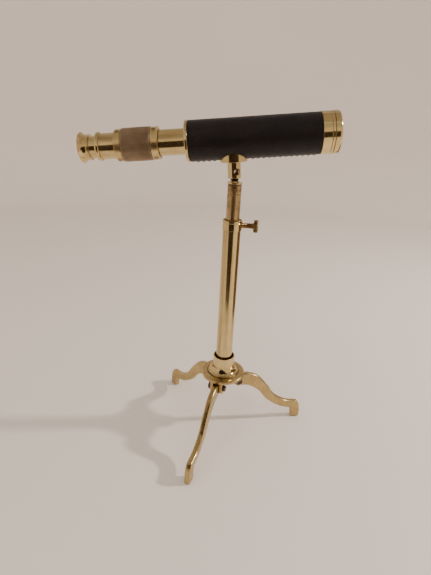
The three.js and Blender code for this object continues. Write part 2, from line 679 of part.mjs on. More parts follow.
// Ball with its stem, heights counted from the ball's centre.
function ballStud() {
  const neckAngle = THREE.MathUtils.radToDeg(Math.acos(STUD_WAIST_RADIUS / ballRadius));
  const spigot = SLEEVE_BORE_RADIUS - SEAT_GAP;
  const collarTo = SLEEVE_FROM - SEAT_GAP;
  const groove = STUD_GROOVE;
  const middle = (STUD_COLLAR_FROM + collarTo) / 2;
  const sphere = arc(0, 0, ballRadius, -90, neckAngle, 7);
  sphere[0][0] = 0;
  const profile = [
    ...sphere,
    [STUD_WAIST_RADIUS, STUD_COLLAR_FROM],
    [STUD_COLLAR_RADIUS, STUD_COLLAR_FROM],
    [STUD_COLLAR_RADIUS - groove, middle],
    [STUD_COLLAR_RADIUS, collarTo],
    [spigot, collarTo],
    [spigot, SLEEVE_FROM + SPIGOT_LENGTH - SEAT_GAP],
    [0, SLEEVE_FROM + SPIGOT_LENGTH - SEAT_GAP],
  ];
  return piece('ball_stud', turnedUp(profile, SMALL_SIDES), agedBrass);
}

function couplingSleeve() {
  const wall = turnedUp(tube(SLEEVE_BORE_RADIUS, SLEEVE_RADIUS, SLEEVE_FROM, sleeveTop), MEDIUM_SIDES);
  const reach = SLEEVE_RADIUS + CUT_MARGIN;
  const hole = radialRod(
    rod(CROSS_HOLE_RADIUS, -reach, reach), CROSS_HOLE_AZIMUTH, CROSS_HOLE_HEIGHT, SMALL_SIDES,
  );
  return piece('coupling_sleeve', wall.subtract(hole), polishedBrass);
}

// ---------------------------------------------------------------------------
// Telescope body: heights from the ball's centre, lengths along the telescope
// ---------------------------------------------------------------------------

function onAxis(body) {
  return body.translate([0, 0, axisHeight]);
}

// A round hole or rod that stands straight under the telescope.
function uprightRod(radius, from, to, along, sides) {
  return turnedUp(rod(radius, from, to), sides).translate([along, 0, 0]);
}

function saddle() {
  const stub = SLEEVE_BORE_RADIUS - SEAT_GAP;
  const profile = [
    [0, saddleBottom - SADDLE_STUB], [stub, saddleBottom - SADDLE_STUB], [stub, saddleBottom],
    [SADDLE_RADIUS, saddleBottom], [SADDLE_RADIUS, axisHeight], [0, axisHeight],
  ];
  const cradleRadius = BARREL_RADIUS + CRADLE_GAP;
  const length = SADDLE_RADIUS + CUT_MARGIN;
  const cradle = onAxis(turnedAlong(rod(cradleRadius, -length, length), LARGE_SIDES));
  let body = turnedUp(profile, MEDIUM_SIDES).subtract(cradle);
  const underside = axisHeight - cradleRadius * Math.cos(Math.asin(SADDLE_RADIUS / cradleRadius));
  const wide = 3 * SADDLE_RADIUS;
  const above = block(wide, wide, SADDLE_RADIUS, 0, 0, underside + SADDLE_RADIUS / 2);
  body = body.subtract(above);
  for (const side of [-1, 1]) {
    const floor = saddleBottom + SADDLE_SCREW_FLOOR;
    const hole = uprightRod(SADDLE_SCREW_RADIUS + SEAT_GAP, floor, axisHeight, 0, SCREW_SIDES);
    body = body.subtract(hole.translate([side * SADDLE_SCREW_SPREAD, 0, 0]));
  }
  return piece('saddle', body, polishedBrass);
}

// Screw from inside the barrel, through its wall into the saddle.
function saddleScrew(index, side) {
  const seat = axisHeight - barrelBore + SEAT_GAP;
  const profile = [
    [0, saddleBottom + SADDLE_SCREW_FLOOR + SEAT_GAP],
    [SADDLE_SCREW_RADIUS, saddleBottom + SADDLE_SCREW_FLOOR + SEAT_GAP],
    [SADDLE_SCREW_RADIUS, seat + SADDLE_SCREW_RIM],
    [SADDLE_SCREW_HEAD, seat + SADDLE_SCREW_RIM],
    [SADDLE_SCREW_HEAD, seat + SADDLE_SCREW_HEIGHT],
    [0, seat + SADDLE_SCREW_HEIGHT],
  ];
  const screw = turnedUp(profile, SCREW_SIDES).translate([side * SADDLE_SCREW_SPREAD, 0, 0]);
  return piece(`saddle_screw_${index}`, screw, darkSteel);
}

function mainBarrel() {
  let wall = onAxis(turnedAlong(tube(barrelBore, BARREL_RADIUS, BARREL_BACK, BARREL_FRONT), LARGE_SIDES));
  for (const side of [-1, 1]) {
    wall = wall.subtract(uprightRod(
      SADDLE_SCREW_RADIUS + SEAT_GAP, 0, axisHeight, side * SADDLE_SCREW_SPREAD, SCREW_SIDES,
    ));
  }
  return piece('main_barrel', wall, polishedBrass);
}

// Leather sleeve on the barrel, with a round opening for the saddle.
function leatherCover() {
  const bore = BARREL_RADIUS + SEAT_GAP;
  const profile = tube(bore, bore + LEATHER_THICKNESS, BARREL_BACK + SEAT_GAP, BARREL_FRONT);
  const opening = uprightRod(SADDLE_RADIUS + CRADLE_GAP, 0, axisHeight, 0, MEDIUM_SIDES);
  const wall = onAxis(turnedAlong(profile, LARGE_SIDES));
  return piece('leather_cover', wall.subtract(opening), blackLeather);
}

function rearFlange() {
  const spigot = barrelBore - SEAT_GAP;
  const round = REAR_FLANGE_ROUND;
  const profile = [
    [housingBore, flangeBack],
    [rimRadius - round, flangeBack],
    [rimRadius, flangeBack + round],
    [rimRadius, flangeFront - round / 2],
    [rimRadius - round / 2, flangeFront],
    [spigot, flangeFront],
    [spigot, flangeFront + SPIGOT_INTO_BARREL],
    [housingBore, flangeFront + SPIGOT_INTO_BARREL],
  ];
  return piece('rear_flange', onAxis(turnedAlong(profile, LARGE_SIDES)), polishedBrass);
}

function drawGuide() {
  const back = guideRingFront - GUIDE_RING_LENGTH;
  const profile = tube(housingBore, barrelBore - SEAT_GAP, back, guideRingFront);
  return piece('draw_guide', onAxis(turnedAlong(profile, LARGE_SIDES)), agedBrass);
}

function objectiveCell() {
  const spigot = barrelBore - SEAT_GAP;
  const seat = cellBack + CELL_SEAT;
  const profile = [
    [cellAperture, cellBack - SPIGOT_INTO_BARREL],
    [spigot, cellBack - SPIGOT_INTO_BARREL],
    [spigot, cellBack],
    [rimRadius, cellBack],
    [rimRadius, cellFront],
    [cellBore, cellFront],
    [cellBore, seat],
    [cellAperture, seat],
  ];
  return piece('objective_cell', onAxis(turnedAlong(profile, LARGE_SIDES)), polishedBrass);
}

function objectiveLens() {
  const back = cellBack + CELL_SEAT + SEAT_GAP + lensSag;
  const radius = cellBore - SEAT_GAP;
  const crowned = lens(radius, LENS_EDGE_THICKNESS, LENS_CROWN, back + LENS_EDGE_THICKNESS / 2, LARGE_SIDES);
  return piece('objective_lens', onAxis(crowned), opticalGlass);
}

function lensRetainer() {
  const back = cellBack + CELL_SEAT + LENS_EDGE_THICKNESS + 2 * (SEAT_GAP + lensSag);
  const radius = cellBore - SEAT_GAP;
  const profile = tube(cellAperture + RETAINER_STEP, radius, back, back + RETAINER_LENGTH);
  return piece('lens_retainer', onAxis(turnedAlong(profile, LARGE_SIDES)), agedBrass);
}

// Push-in cap with a shallow hollow behind it.
function dustCap() {
  const front = capBack + DUST_CAP_LENGTH;
  const spigot = cellBore - SEAT_GAP;
  const hollow = cellAperture;
  const profile = [
    [0, capBack - DUST_CAP_SPIGOT + DUST_CAP_HOLLOW],
    [hollow, capBack - DUST_CAP_SPIGOT + DUST_CAP_HOLLOW],
    [hollow, capBack - DUST_CAP_SPIGOT],
    [spigot, capBack - DUST_CAP_SPIGOT],
    [spigot, capBack],
    [rimRadius, capBack],
    ...arc(rimRadius - DUST_CAP_ROUND, front - DUST_CAP_ROUND, DUST_CAP_ROUND, 0, 90, 3),
    [0, front],
  ];
  return piece('dust_cap', onAxis(turnedAlong(profile, LARGE_SIDES)), polishedBrass);
}

// ---------------------------------------------------------------------------
// Draw tube and focusing barrel
// ---------------------------------------------------------------------------

// The screws' holes, through everything outside a given radius.
function cutScrewHoles(body, along, radius, from, to) {
  let cut = body;
  for (const angle of COLLAR_SCREW_ANGLES) {
    cut = cut.subtract(spoke(rod(radius, from, to), angle, along, SCREW_SIDES));
  }
  return cut;
}

const drawCollarMiddle = housingFront - DRAW_COLLAR_LENGTH / 2;
const eyeCollarMiddle = eyeCollarFront - EYE_COLLAR_LENGTH / 2;
const screwHole = COLLAR_SCREW_SHANK_RADIUS + SEAT_GAP;

function drawTube() {
  const wall = turnedAlong(tube(drawBore, DRAW_RADIUS, drawBack, drawFront), MEDIUM_SIDES);
  const cut = cutScrewHoles(wall, drawCollarMiddle, screwHole, drawBore - CUT_MARGIN, focusRingRadius);
  return piece('draw_tube', onAxis(cut), polishedBrass);
}

function drawStopRing() {
  const profile = tube(DRAW_RADIUS + SEAT_GAP, stopRingRadius, stopRingBack, drawFront);
  return piece('draw_stop_ring', onAxis(turnedAlong(profile, MEDIUM_SIDES)), agedBrass);
}

// Carries the focusing ring, with a straight slot for the cam pin.
function focusHousing() {
  let wall = turnedAlong(tube(housingBore, housingRadius, housingBack, housingFront), MEDIUM_SIDES);
  for (const along of [drawCollarMiddle, eyeCollarMiddle]) {
    wall = cutScrewHoles(wall, along, screwHole, housingBore - CUT_MARGIN, focusRingRadius);
  }
  const slotLength = 2 * (FOCUS_TRAVEL + CAM_PIN_RADIUS + CAM_CLEARANCE);
  const slotWidth = 2 * (CAM_PIN_RADIUS + SLIDE_GAP);
  const slot = block(slotLength, 2 * HOUSING_WALL + CUT_MARGIN, slotWidth, camCentre, housingRadius, 0);
  wall = wall.subtract(slot.rotate([CAM_ANGLE, 0, 0]));
  return piece('focus_housing', onAxis(wall), agedBrass);
}

function collar(name, radius, from, to) {
  const round = COLLAR_ROUND;
  const profile = [
    [housingRadius + SEAT_GAP, from], [radius - round, from], [radius, from + round],
    [radius, to - round], [radius - round, to], [housingRadius + SEAT_GAP, to],
  ];
  const along = (from + to) / 2;
  const seat = radius + COLLAR_SCREW_PROUD - COLLAR_SCREW_HEAD_HEIGHT - SEAT_GAP;
  let body = turnedAlong(profile, MEDIUM_SIDES);
  body = cutScrewHoles(body, along, screwHole, housingRadius - CUT_MARGIN, radius + CUT_MARGIN);
  const counterbore = COLLAR_SCREW_HEAD_RADIUS + SEAT_GAP;
  body = cutScrewHoles(body, along, counterbore, seat, radius + CUT_MARGIN);
  return piece(name, onAxis(body), polishedBrass);
}

// Round-headed slotted screw, standing slightly proud of its collar.
function collarScrew(name, angle, along, collarRadius, tip) {
  const top = collarRadius + COLLAR_SCREW_PROUD;
  const under = top - COLLAR_SCREW_HEAD_HEIGHT;
  const profile = [
    [0, tip], [COLLAR_SCREW_SHANK_RADIUS, tip], [COLLAR_SCREW_SHANK_RADIUS, under],
    [COLLAR_SCREW_HEAD_RADIUS, under], [COLLAR_SCREW_HEAD_RADIUS, top - COLLAR_SCREW_ROUND],
    [COLLAR_SCREW_HEAD_RADIUS - COLLAR_SCREW_ROUND, top], [0, top],
  ];
  const screw = spoke(profile, angle, along, SCREW_SIDES);
  const length = 2 * COLLAR_SCREW_HEAD_RADIUS + CUT_MARGIN;
  const slot = block(length, 2 * COLLAR_SCREW_SLOT, COLLAR_SCREW_SLOT, along, top, 0);
  return piece(name, onAxis(screw.subtract(slot.rotate([angle, 0, 0]))), polishedBrass);
}

function erectorCell() {
  const radius = drawBore - SEAT_GAP;
  const front = stopRingBack - STOP_GAP;
  const back = front - ERECTOR_LENGTH;
  const seat = erectorLensRadius + SEAT_GAP;
  const deep = ERECTOR_LENS_THICKNESS + 2 * SEAT_GAP;
  const aperture = erectorLensRadius - ERECTOR_LEDGE;
  const profile = [
    [seat, back], [radius, back], [radius, front], [seat, front], [seat, front - deep],
    [aperture, front - deep], [aperture, back + deep], [seat, back + deep],
  ];
  return piece('erector_cell', onAxis(turnedAlong(profile, MEDIUM_SIDES)), agedBrass);
}

function erectorLens(index, end) {
  const front = stopRingBack - STOP_GAP;
  const middle = front - ERECTOR_LENGTH / 2;
  const inset = ERECTOR_LENS_THICKNESS / 2 + SEAT_GAP;
  const crown = ERECTOR_LENS_CROWN;
  const edge = ERECTOR_LENS_THICKNESS - 2 * crown;
  const centre = middle + end * (ERECTOR_LENGTH / 2 - inset);
  const body = lens(erectorLensRadius, edge, crown, centre, MEDIUM_SIDES);
  return piece(`erector_lens_${index}`, onAxis(body), opticalGlass);
}

// A bar of rectangular section bent into part of a helix about the telescope's axis.
function helicalBar(inner, outer, width, centre, angleFrom, angleTo, rise, steps) {
  const places = [];
  const corners = [[inner, -1], [outer, -1], [outer, 1], [inner, 1]];
  for (let i = 0; i <= steps; i += 1) {
    const share = i / steps;
    const angle = radians(angleFrom + (angleTo - angleFrom) * share);
    const along = centre + rise * (2 * share - 1);
    for (const [radius, side] of corners) {
      places.push(along + side * width / 2, radius * Math.cos(angle), radius * Math.sin(angle));
    }
  }
  const faces = [0, 2, 1, 0, 3, 2];
  const count = corners.length;
  for (let i = 0; i < steps; i += 1) {
    for (let j = 0; j < count; j += 1) {
      const a = i * count + j;
      const b = i * count + (j + 1) % count;
      faces.push(a, b, b + count, a, b + count, a + count);
    }
  }
  const last = steps * count;
  faces.push(last, last + 1, last + 2, last, last + 2, last + 3);
  const geometry = new THREE.BufferGeometry();
  geometry.setAttribute('position', new THREE.Float32BufferAttribute(places, 3));
  geometry.setIndex(faces);
  return solid(geometry);
}

// Ring that is turned to focus, with the cam groove in its bore.
function focusRing() {
  const bore = housingRadius + 1.5 * SLIDE_GAP;
  const round = FOCUS_RING_ROUND;
  const profile = [
    [bore, ringBack], [focusRingRadius - round, ringBack], [focusRingRadius, ringBack + round],
    [focusRingRadius, ringFront - round], [focusRingRadius - round, ringFront], [bore, ringFront],
  ];
  const extraTurn = THREE.MathUtils.radToDeg((CAM_PIN_RADIUS + CAM_CLEARANCE) / bore);
  const turn = FOCUS_TURN + extraTurn;
  const rise = FOCUS_TRAVEL * turn / FOCUS_TURN;
  const width = 2 * (CAM_PIN_RADIUS + CAM_CLEARANCE);
  const groove = helicalBar(
    bore - CUT_MARGIN, camPinTip + SLIDE_GAP, width, camCentre,
    CAM_ANGLE - turn, CAM_ANGLE + turn, rise, CAM_STEPS,
  );
  const body = turnedAlong(profile, LARGE_SIDES).subtract(groove);
  return piece('focus_ring', onAxis(body), knurledBrass);
}

// ---------------------------------------------------------------------------
// Eyepiece
// ---------------------------------------------------------------------------

function eyepieceTube() {
  const wall = turnedAlong(tube(eyeTubeBore, DRAW_RADIUS, eyeTubeBack, eyeTubeFront), MEDIUM_SIDES);
  const hole = rod(CAM_PIN_RADIUS + SEAT_GAP, eyeTubeBore - CUT_MARGIN, DRAW_RADIUS + CUT_MARGIN);
  const body = wall.subtract(spoke(hole, CAM_ANGLE, camCentre, SCREW_SIDES));
  return piece('eyepiece_tube', onAxis(body), polishedBrass);
}

function camPin() {
  const profile = rod(CAM_PIN_RADIUS, eyeTubeBore + SEAT_GAP, camPinTip);
  return piece('cam_pin', onAxis(spoke(profile, CAM_ANGLE, camCentre, SCREW_SIDES)), darkSteel);
}

// Half-round ring on the end of the eyepiece tube.
function eyeRing() {
  const bore = DRAW_RADIUS + SEAT_GAP;
  const half = EYE_RING_LENGTH / 2;
  const middle = eyeRingFront - half;
  const foot = bore + EYE_RING_FOOT;
  const bulge = Array.from({ length: 5 }, (_, i) => {
    const angle = -Math.PI / 2 + Math.PI * i / 4;
    return [foot + (eyeRingRadius - foot) * Math.cos(angle), middle + half * Math.sin(angle)];
  });
  const profile = [[bore, middle - half], ...bulge, [bore, middle + half]];
  return piece('eye_ring', onAxis(turnedAlong(profile, MEDIUM_SIDES)), polishedBrass);
}

// Flared eyecup with a shallow dish, on a stem that screws into the eyepiece tube.
function eyecup() {
  const bore = eyeLensRadius + SEAT_GAP;
  const rearRimRadius = DRAW_RADIUS + EYECUP_RIM_STEP;
  const waistRadius = DRAW_RADIUS - EYECUP_WAIST_STEP;
  const lipRadius = DRAW_RADIUS + EYECUP_LIP_STEP;
  const floor = eyecupBack + EYECUP_DISH;
  const stemFront = eyeTubeBack + EYE_STEM_INSIDE;
  const waist = EYECUP_RIM_LENGTH + EYECUP_BEAD_LENGTH;
  const flare = Array.from({ length: 4 }, (_, i) => {
    const share = i / 3;
    const radius = waistRadius + (lipRadius - waistRadius) * share * share;
    return [radius, eyecupFront - waist - (EYECUP_LENGTH - waist - EYECUP_LIP_LENGTH) * share];
  });
  const profile = [
    [EYE_HOLE_RADIUS, floor + EYECUP_FLOOR],
    [EYE_HOLE_RADIUS, floor],
    [lipRadius - EYECUP_LIP_ROUND - EYECUP_LIP_WIDTH, eyecupBack],
    [lipRadius - EYECUP_LIP_ROUND, eyecupBack],
    ...flare.reverse(),
    [rearRimRadius, eyecupFront - EYECUP_RIM_LENGTH],
    [rearRimRadius, eyecupFront],
    [eyeNeckRadius, eyecupFront],
    [eyeNeckRadius, stemFront],
    [bore, stemFront],
    [bore, floor + EYECUP_FLOOR],
  ];
  return piece('eyecup', onAxis(turnedAlong(profile, MEDIUM_SIDES)), polishedBrass);
}

function eyeLens() {
  const crown = EYE_LENS_CROWN;
  const edge = EYE_LENS_THICKNESS - 2 * crown;
  const middle = eyecupBack + EYECUP_DISH + EYECUP_FLOOR + SEAT_GAP + EYE_LENS_THICKNESS / 2;
  return piece('eye_lens', onAxis(lens(eyeLensRadius, edge, crown, middle, MEDIUM_SIDES)), opticalGlass);
}

function fieldStop() {
  const back = eyeTubeBack + EYE_STEM_INSIDE + SEAT_GAP;
  const profile = tube(FIELD_STOP_RADIUS, eyeTubeBore - SEAT_GAP, back, back + FIELD_STOP_THICKNESS);
  return piece('field_stop', onAxis(turnedAlong(profile, MEDIUM_SIDES)), agedBrass);
}

function fieldLens() {
  const radius = eyeTubeBore - SEAT_GAP;
  const middle = eyeTubeBack + EYE_STEM_INSIDE + FIELD_LENS_FROM_STEM;
  const body = lens(radius, FIELD_LENS_EDGE, FIELD_LENS_CROWN, middle, MEDIUM_SIDES);
  return piece('field_lens', onAxis(body), opticalGlass);
}

// ---------------------------------------------------------------------------
// Assembly
// ---------------------------------------------------------------------------

function tripod() {
  const group = new THREE.Group();
  group.add(baseDisc(), baseWasher(), baseBolt());
  LEG_AZIMUTHS.forEach((azimuth, i) => {
    const arm = new THREE.Group();
    arm.rotation.z = radians(azimuth);
    arm.add(leg(i + 1), hingeScrew(i + 1), hingeNut(i + 1));
    group.add(arm);
  });
  return group;
}

function column() {
  const group = new THREE.Group();
  group.add(columnSocket(), columnSetScrew(), columnPlug(), columnTube());
  group.add(columnBush(), columnCollar(), thumbScrew());
  group.add(innerPole(), poleGuide(), swivelCap(), ballLiner());
  return group;
}

function focusing() {
  const group = new THREE.Group();
  group.add(focusHousing(), focusRing());
  group.add(collar('draw_side_collar', drawCollarRadius, drawCollarBack, housingFront));
  group.add(collar('eye_side_collar', eyeCollarRadius, housingBack, eyeCollarFront));
  COLLAR_SCREW_ANGLES.forEach((angle, i) => {
    const drawSide = [angle, drawCollarMiddle, drawCollarRadius, drawBore + SEAT_GAP];
    const eyeSide = [angle, eyeCollarMiddle, eyeCollarRadius, housingBore + SEAT_GAP];
    group.add(collarScrew(`draw_side_screw_${i + 1}`, ...drawSide));
    group.add(collarScrew(`eye_side_screw_${i + 1}`, ...eyeSide));
  });
  return group;
}

function telescope() {
  const group = new THREE.Group();
  group.position.z = ballHeight;
  group.rotation.y = -radians(TELESCOPE_TILT);
  group.add(ballStud(), couplingSleeve(), saddle(), saddleScrew(1, -1), saddleScrew(2, 1));
  group.add(mainBarrel(), leatherCover(), rearFlange(), drawGuide());
  group.add(objectiveCell(), objectiveLens(), lensRetainer(), dustCap());
  group.add(drawTube(), drawStopRing(), erectorCell(), erectorLens(1, -1), erectorLens(2, 1));
  group.add(focusing());
  group.add(eyepieceTube(), camPin(), eyeRing(), eyecup(), eyeLens(), fieldStop(), fieldLens());
  return group;
}

const model = new THREE.Group();
model.add(tripod(), column(), telescope());
const middle = new THREE.Box3().setFromObject(model, true).getCenter(new THREE.Vector3());
model.position.set(-middle.x, -middle.y, 0);

export default model;
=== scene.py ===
"""Looks of a draw telescope on a folding tripod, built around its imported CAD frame.

Every piece is made in a local frame whose Z axis is the axis it was turned about, in
millimetres, and takes its sizes from the CAD node that it stands for.
"""

import json
import math
from collections import namedtuple

import bmesh
import bpy
import numpy as np
from mathutils import Matrix, Vector


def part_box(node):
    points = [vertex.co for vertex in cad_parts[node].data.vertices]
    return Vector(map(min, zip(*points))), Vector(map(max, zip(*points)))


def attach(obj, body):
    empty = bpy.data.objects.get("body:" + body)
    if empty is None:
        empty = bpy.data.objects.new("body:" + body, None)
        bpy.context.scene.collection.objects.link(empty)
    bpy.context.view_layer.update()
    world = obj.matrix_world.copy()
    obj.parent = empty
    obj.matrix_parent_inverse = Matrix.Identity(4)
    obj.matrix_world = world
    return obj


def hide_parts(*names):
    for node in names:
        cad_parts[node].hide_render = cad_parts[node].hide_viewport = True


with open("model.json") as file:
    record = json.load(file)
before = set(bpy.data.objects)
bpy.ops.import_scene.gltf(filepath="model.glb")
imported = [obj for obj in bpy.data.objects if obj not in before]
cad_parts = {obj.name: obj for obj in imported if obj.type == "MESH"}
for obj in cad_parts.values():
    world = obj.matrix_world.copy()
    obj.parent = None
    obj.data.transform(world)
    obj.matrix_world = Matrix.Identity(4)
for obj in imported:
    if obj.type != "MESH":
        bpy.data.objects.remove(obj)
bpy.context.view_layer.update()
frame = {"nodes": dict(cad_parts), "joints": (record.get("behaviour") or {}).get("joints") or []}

MM = 0.001

# How finely round pieces are divided
LARGE = 144
MEDIUM = 96
SMALL = 48

# Fits that the CAD model uses, in millimetres
SEAT_GAP = 0.1
SLIDE_GAP = 0.2
CRADLE_GAP = 0.15

SMOOTH_ANGLE = math.radians(38)
CORNER_STEPS = 4
DRILL_REACH = 20.0


# ---------------------------------------------------------------------------
# Places and sizes read from the frame
# ---------------------------------------------------------------------------

Size = namedtuple("Size", "start end radius bore")


def joint(name):
    return next(j for j in frame["joints"] if j["name"] == name)


def place(origin, along, side):
    """A frame at a point in metres, with Z along one direction and X near another."""
    z = Vector(along).normalized()
    y = z.cross(Vector(side)).normalized()
    x = y.cross(z)
    turn = Matrix((x, y, z)).transposed().to_4x4()
    return Matrix.Translation(origin) @ turn


def local_points(node, spot):
    """A CAD node's points in a local frame, in millimetres."""
    back = np.array(spot.inverted())
    points = np.array([v.co for v in frame["nodes"][node].data.vertices])
    return (points @ back[:3, :3].T + back[:3, 3]) / MM


def radii_of(points):
    return np.hypot(points[:, 0], points[:, 1])


def size(node, spot):
    """Where a round CAD node starts and ends along a frame's Z axis, and its radii."""
    points = local_points(node, spot)
    radii = radii_of(points)
    return Size(points[:, 2].min(), points[:, 2].max(), radii.max(), radii.min())


def radii_at(node, spot, height, reach=0.05):
    """Smallest and largest radius of a CAD node's corners at a height."""
    points = local_points(node, spot)
    radii = radii_of(points[abs(points[:, 2] - height) < reach])
    return radii.min(), radii.max()


def first_past(node, spot, radius):
    """Height at which a CAD node first reaches past a radius."""
    points = local_points(node, spot)
    return points[radii_of(points) > radius][:, 2].min()


def middle(node):
    low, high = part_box(node)
    return (low + high) / 2


UP = Vector((0, 0, 1))
ACROSS = Vector((1, 0, 0))

column_middle = middle("column_tube")
COLUMN = place((column_middle.x, column_middle.y, 0), UP, ACROSS)
BALL = Vector(joint("ball_pan")["pos_m"])
FORWARD = Vector(joint("cap_off")["axis"])
STEM = place(BALL, FORWARD.cross(joint("ball_tilt")["axis"]), FORWARD)
on_axis = Vector(joint("focus_turn")["pos_m"])
axis_foot = on_axis + FORWARD * (BALL - on_axis).dot(FORWARD)
SCOPE = place(axis_foot, FORWARD, axis_foot - BALL)
THUMB = place(
    (column_middle.x, column_middle.y, middle("thumb_screw").z),
    joint("thumb_turn")["axis"],
    UP,
)


def leg_place(index):
    """A frame at the foot of the column, X out along a leg and Y along its hinge."""
    hinge = Vector(joint(f"leg_{index}_fold")["axis"])
    return place(COLUMN.translation, UP, hinge.cross(UP))


def pin_place(index):
    """A frame on a leg's hinge pin, with Z along the pin."""
    fold = joint(f"leg_{index}_fold")
    return place(fold["pos_m"], fold["axis"], UP)


# ---------------------------------------------------------------------------
# Mesh making
# ---------------------------------------------------------------------------


def softened(profile, default, closed=True):
    """A profile of (radius, height) or (radius, height, rounding), its corners rounded."""
    points = [Vector(p[:2]) for p in profile]
    rounds = [p[2] if len(p) > 2 else default for p in profile]
    count = len(points)
    done = []
    for i, corner in enumerate(points):
        at_end = not closed and i in (0, count - 1)
        if at_end or rounds[i] <= 0 or corner.x < 1e-6:
            done.append(corner)
            continue
        before = points[i - 1] - corner
        after = points[(i + 1) % count] - corner
        cut = min(rounds[i], 0.45 * before.length, 0.45 * after.length)
        start = corner + before.normalized() * cut
        end = corner + after.normalized() * cut
        for step in range(CORNER_STEPS + 1):
            t = step / CORNER_STEPS
            done.append(start * (1 - t) ** 2 + corner * 2 * t * (1 - t) + end * t**2)
    return done


def linked(name, data):
    """A new object in the scene."""
    obj = bpy.data.objects.new(name, data)
    bpy.context.scene.collection.objects.link(obj)
    return obj


def new_object(name, vertices, faces, spot):
    mesh = bpy.data.meshes.new(name)
    mesh.from_pydata([tuple(v) for v in vertices], [], faces)
    mesh.transform(Matrix.Scale(MM, 4))
    mesh.update()
    obj = linked(name, mesh)
    obj.matrix_world = spot
    return obj


def ring_faces(first, second):
    """Quads, or triangles at a pole, between two rings of corner numbers."""
    count = max(len(first), len(second))
    faces = []
    for i in range(count):
        j = (i + 1) % count
        if len(first) == 1:
            faces.append((first[0], second[i], second[j]))
        elif len(second) == 1:
            faces.append((first[i], second[0], first[j]))
        else:
            faces.append((first[i], second[i], second[j], first[j]))
    return faces


def lathe(name, points, sides, spot, closed=True, shape=None):
    """A round body from a profile. shape(angle, radius, height) may change a radius."""
    vertices = []
    rings = []
    for radius, height in points:
        if radius < 1e-6:
            rings.append([len(vertices)])
            vertices.append((0, 0, height))
            continue
        rings.append(list(range(len(vertices), len(vertices) + sides)))
        for i in range(sides):
            angle = 2 * math.pi * i / sides
            wide = shape(angle, radius, height) if shape else radius
            vertices.append((wide * math.cos(angle), wide * math.sin(angle), height))
    pairs = list(zip(rings, rings[1:]))
    if closed:
        pairs.append((rings[-1], rings[0]))
    faces = [f for a, b in pairs if len(a) + len(b) > 2 for f in ring_faces(a, b)]
    obj = new_object(name, vertices, faces, spot)
    face_out(obj)
    return obj


def face_out(obj):
    """Merges doubles and turns a closed mesh's faces outwards."""
    work = bmesh.new()
    work.from_mesh(obj.data)
    bmesh.ops.remove_doubles(work, verts=work.verts, dist=1e-7)
    bmesh.ops.dissolve_degenerate(work, dist=1e-7, edges=work.edges)
    bmesh.ops.recalc_face_normals(work, faces=work.faces)
    work.to_mesh(obj.data)
    work.free()


def turned(name, profile, spot, sides=MEDIUM, edge=0.25, shape=None):
    """A turned body from a profile whose ends may lie on the axis."""
    on_the_axis = profile[0][0] < 1e-6 and profile[-1][0] < 1e-6
    points = softened(profile, edge, closed=not on_the_axis)
    return lathe(name, points, sides, spot, not on_the_axis, shape)


def rod(radius, start, end):
    return [(0, start), (radius, start), (radius, end), (0, end)]


def tube(bore, radius, start, end):
    return [(bore, start), (radius, start), (radius, end), (bore, end)]


def arc(radius, height, size, start, end, steps):
    """Profile points on an arc, between two angles in radians."""
    angles = [start + (end - start) * i / steps for i in range(steps + 1)]
    return [(radius + size * math.cos(a), height + size * math.sin(a), 0) for a in angles]


def drill(radius, spot, start=-DRILL_REACH, end=DRILL_REACH, sides=SMALL):
    """A rod to cut a hole with."""
    return turned("cutter", rod(radius, start, end), spot, sides, 0)


def plate(name, outline, low, high, spot):
    """A flat outline of (X, Z) points, given a thickness from low to high along Y."""
    count = len(outline)
    vertices = [(x, low, z) for x, z in outline] + [(x, high, z) for x, z in outline]
    faces = [tuple(range(count)), tuple(range(2 * count - 1, count - 1, -1))]
    faces += [(i, i + count, (i + 1) % count + count, (i + 1) % count) for i in range(count)]
    obj = new_object(name, vertices, faces, spot)
    face_out(obj)
    return obj


def block(lows, highs, spot):
    """A box between two corners, used only to cut with."""
    outline = [(lows[0], lows[2]), (highs[0], lows[2]), (highs[0], highs[2]), (lows[0], highs[2])]
    return plate("cutter", outline, lows[1], highs[1], spot)


def apply_modifiers(obj):
    depsgraph = bpy.context.evaluated_depsgraph_get()
    done = bpy.data.meshes.new_from_object(obj.evaluated_get(depsgraph))
    obj.modifiers.clear()
    obj.data = done


def combine(obj, tools, operation="DIFFERENCE"):
    """Cuts, joins or keeps what obj shares with each tool, and removes the tools."""
    for tool in tools:
        step = obj.modifiers.new("combine", "BOOLEAN")
        step.operation = operation
        step.solver = "EXACT"
        step.object = tool
        bpy.context.view_layer.update()
        apply_modifiers(obj)
        bpy.data.objects.remove(tool)
    return obj


def bevelled(obj, width, segments=3, angle=50, clamp=True):
    """Rounds the edges that are sharper than an angle in degrees."""
    step = obj.modifiers.new("edges", "BEVEL")
    step.width = width * MM
    step.segments = segments
    step.limit_method = "ANGLE"
    step.angle_limit = math.radians(angle)
    step.use_clamp_overlap = clamp
    bpy.context.view_layer.update()
    apply_modifiers(obj)
    return obj


def hand_in(obj, body, slot, looks, *nodes):
    """Shades a finished piece, gives it its looks, sets it under its body and hides the CAD nodes that it
    stands for.
    """
    obj.data.shade_smooth()
    obj.data.set_sharp_from_angle(angle=SMOOTH_ANGLE)
    weights = obj.modifiers.new("weights", "WEIGHTED_NORMAL")
    weights.keep_sharp = True
    wanted = looks if isinstance(looks, (list, tuple)) else [looks]
    for i, look in enumerate(wanted):
        if i < len(obj.data.materials):
            obj.data.materials[i] = look
        else:
            obj.data.materials.append(look)
    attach(obj, body)
    if nodes:
        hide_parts(*nodes)
    return obj


def plain_tube(node, spot, body, slot, look, edge, cutters=(), sides=LARGE):
    """A tube with soft ends that stands for its CAD node, with any holes cut in it."""
    whole = size(node, spot)
    profile = tube(whole.bore, whole.radius, whole.start, whole.end)
    wall = turned(f"{node}_fine", profile, spot, sides, edge)
    combine(wall, cutters)
    hand_in(wall, body, slot, look, node)


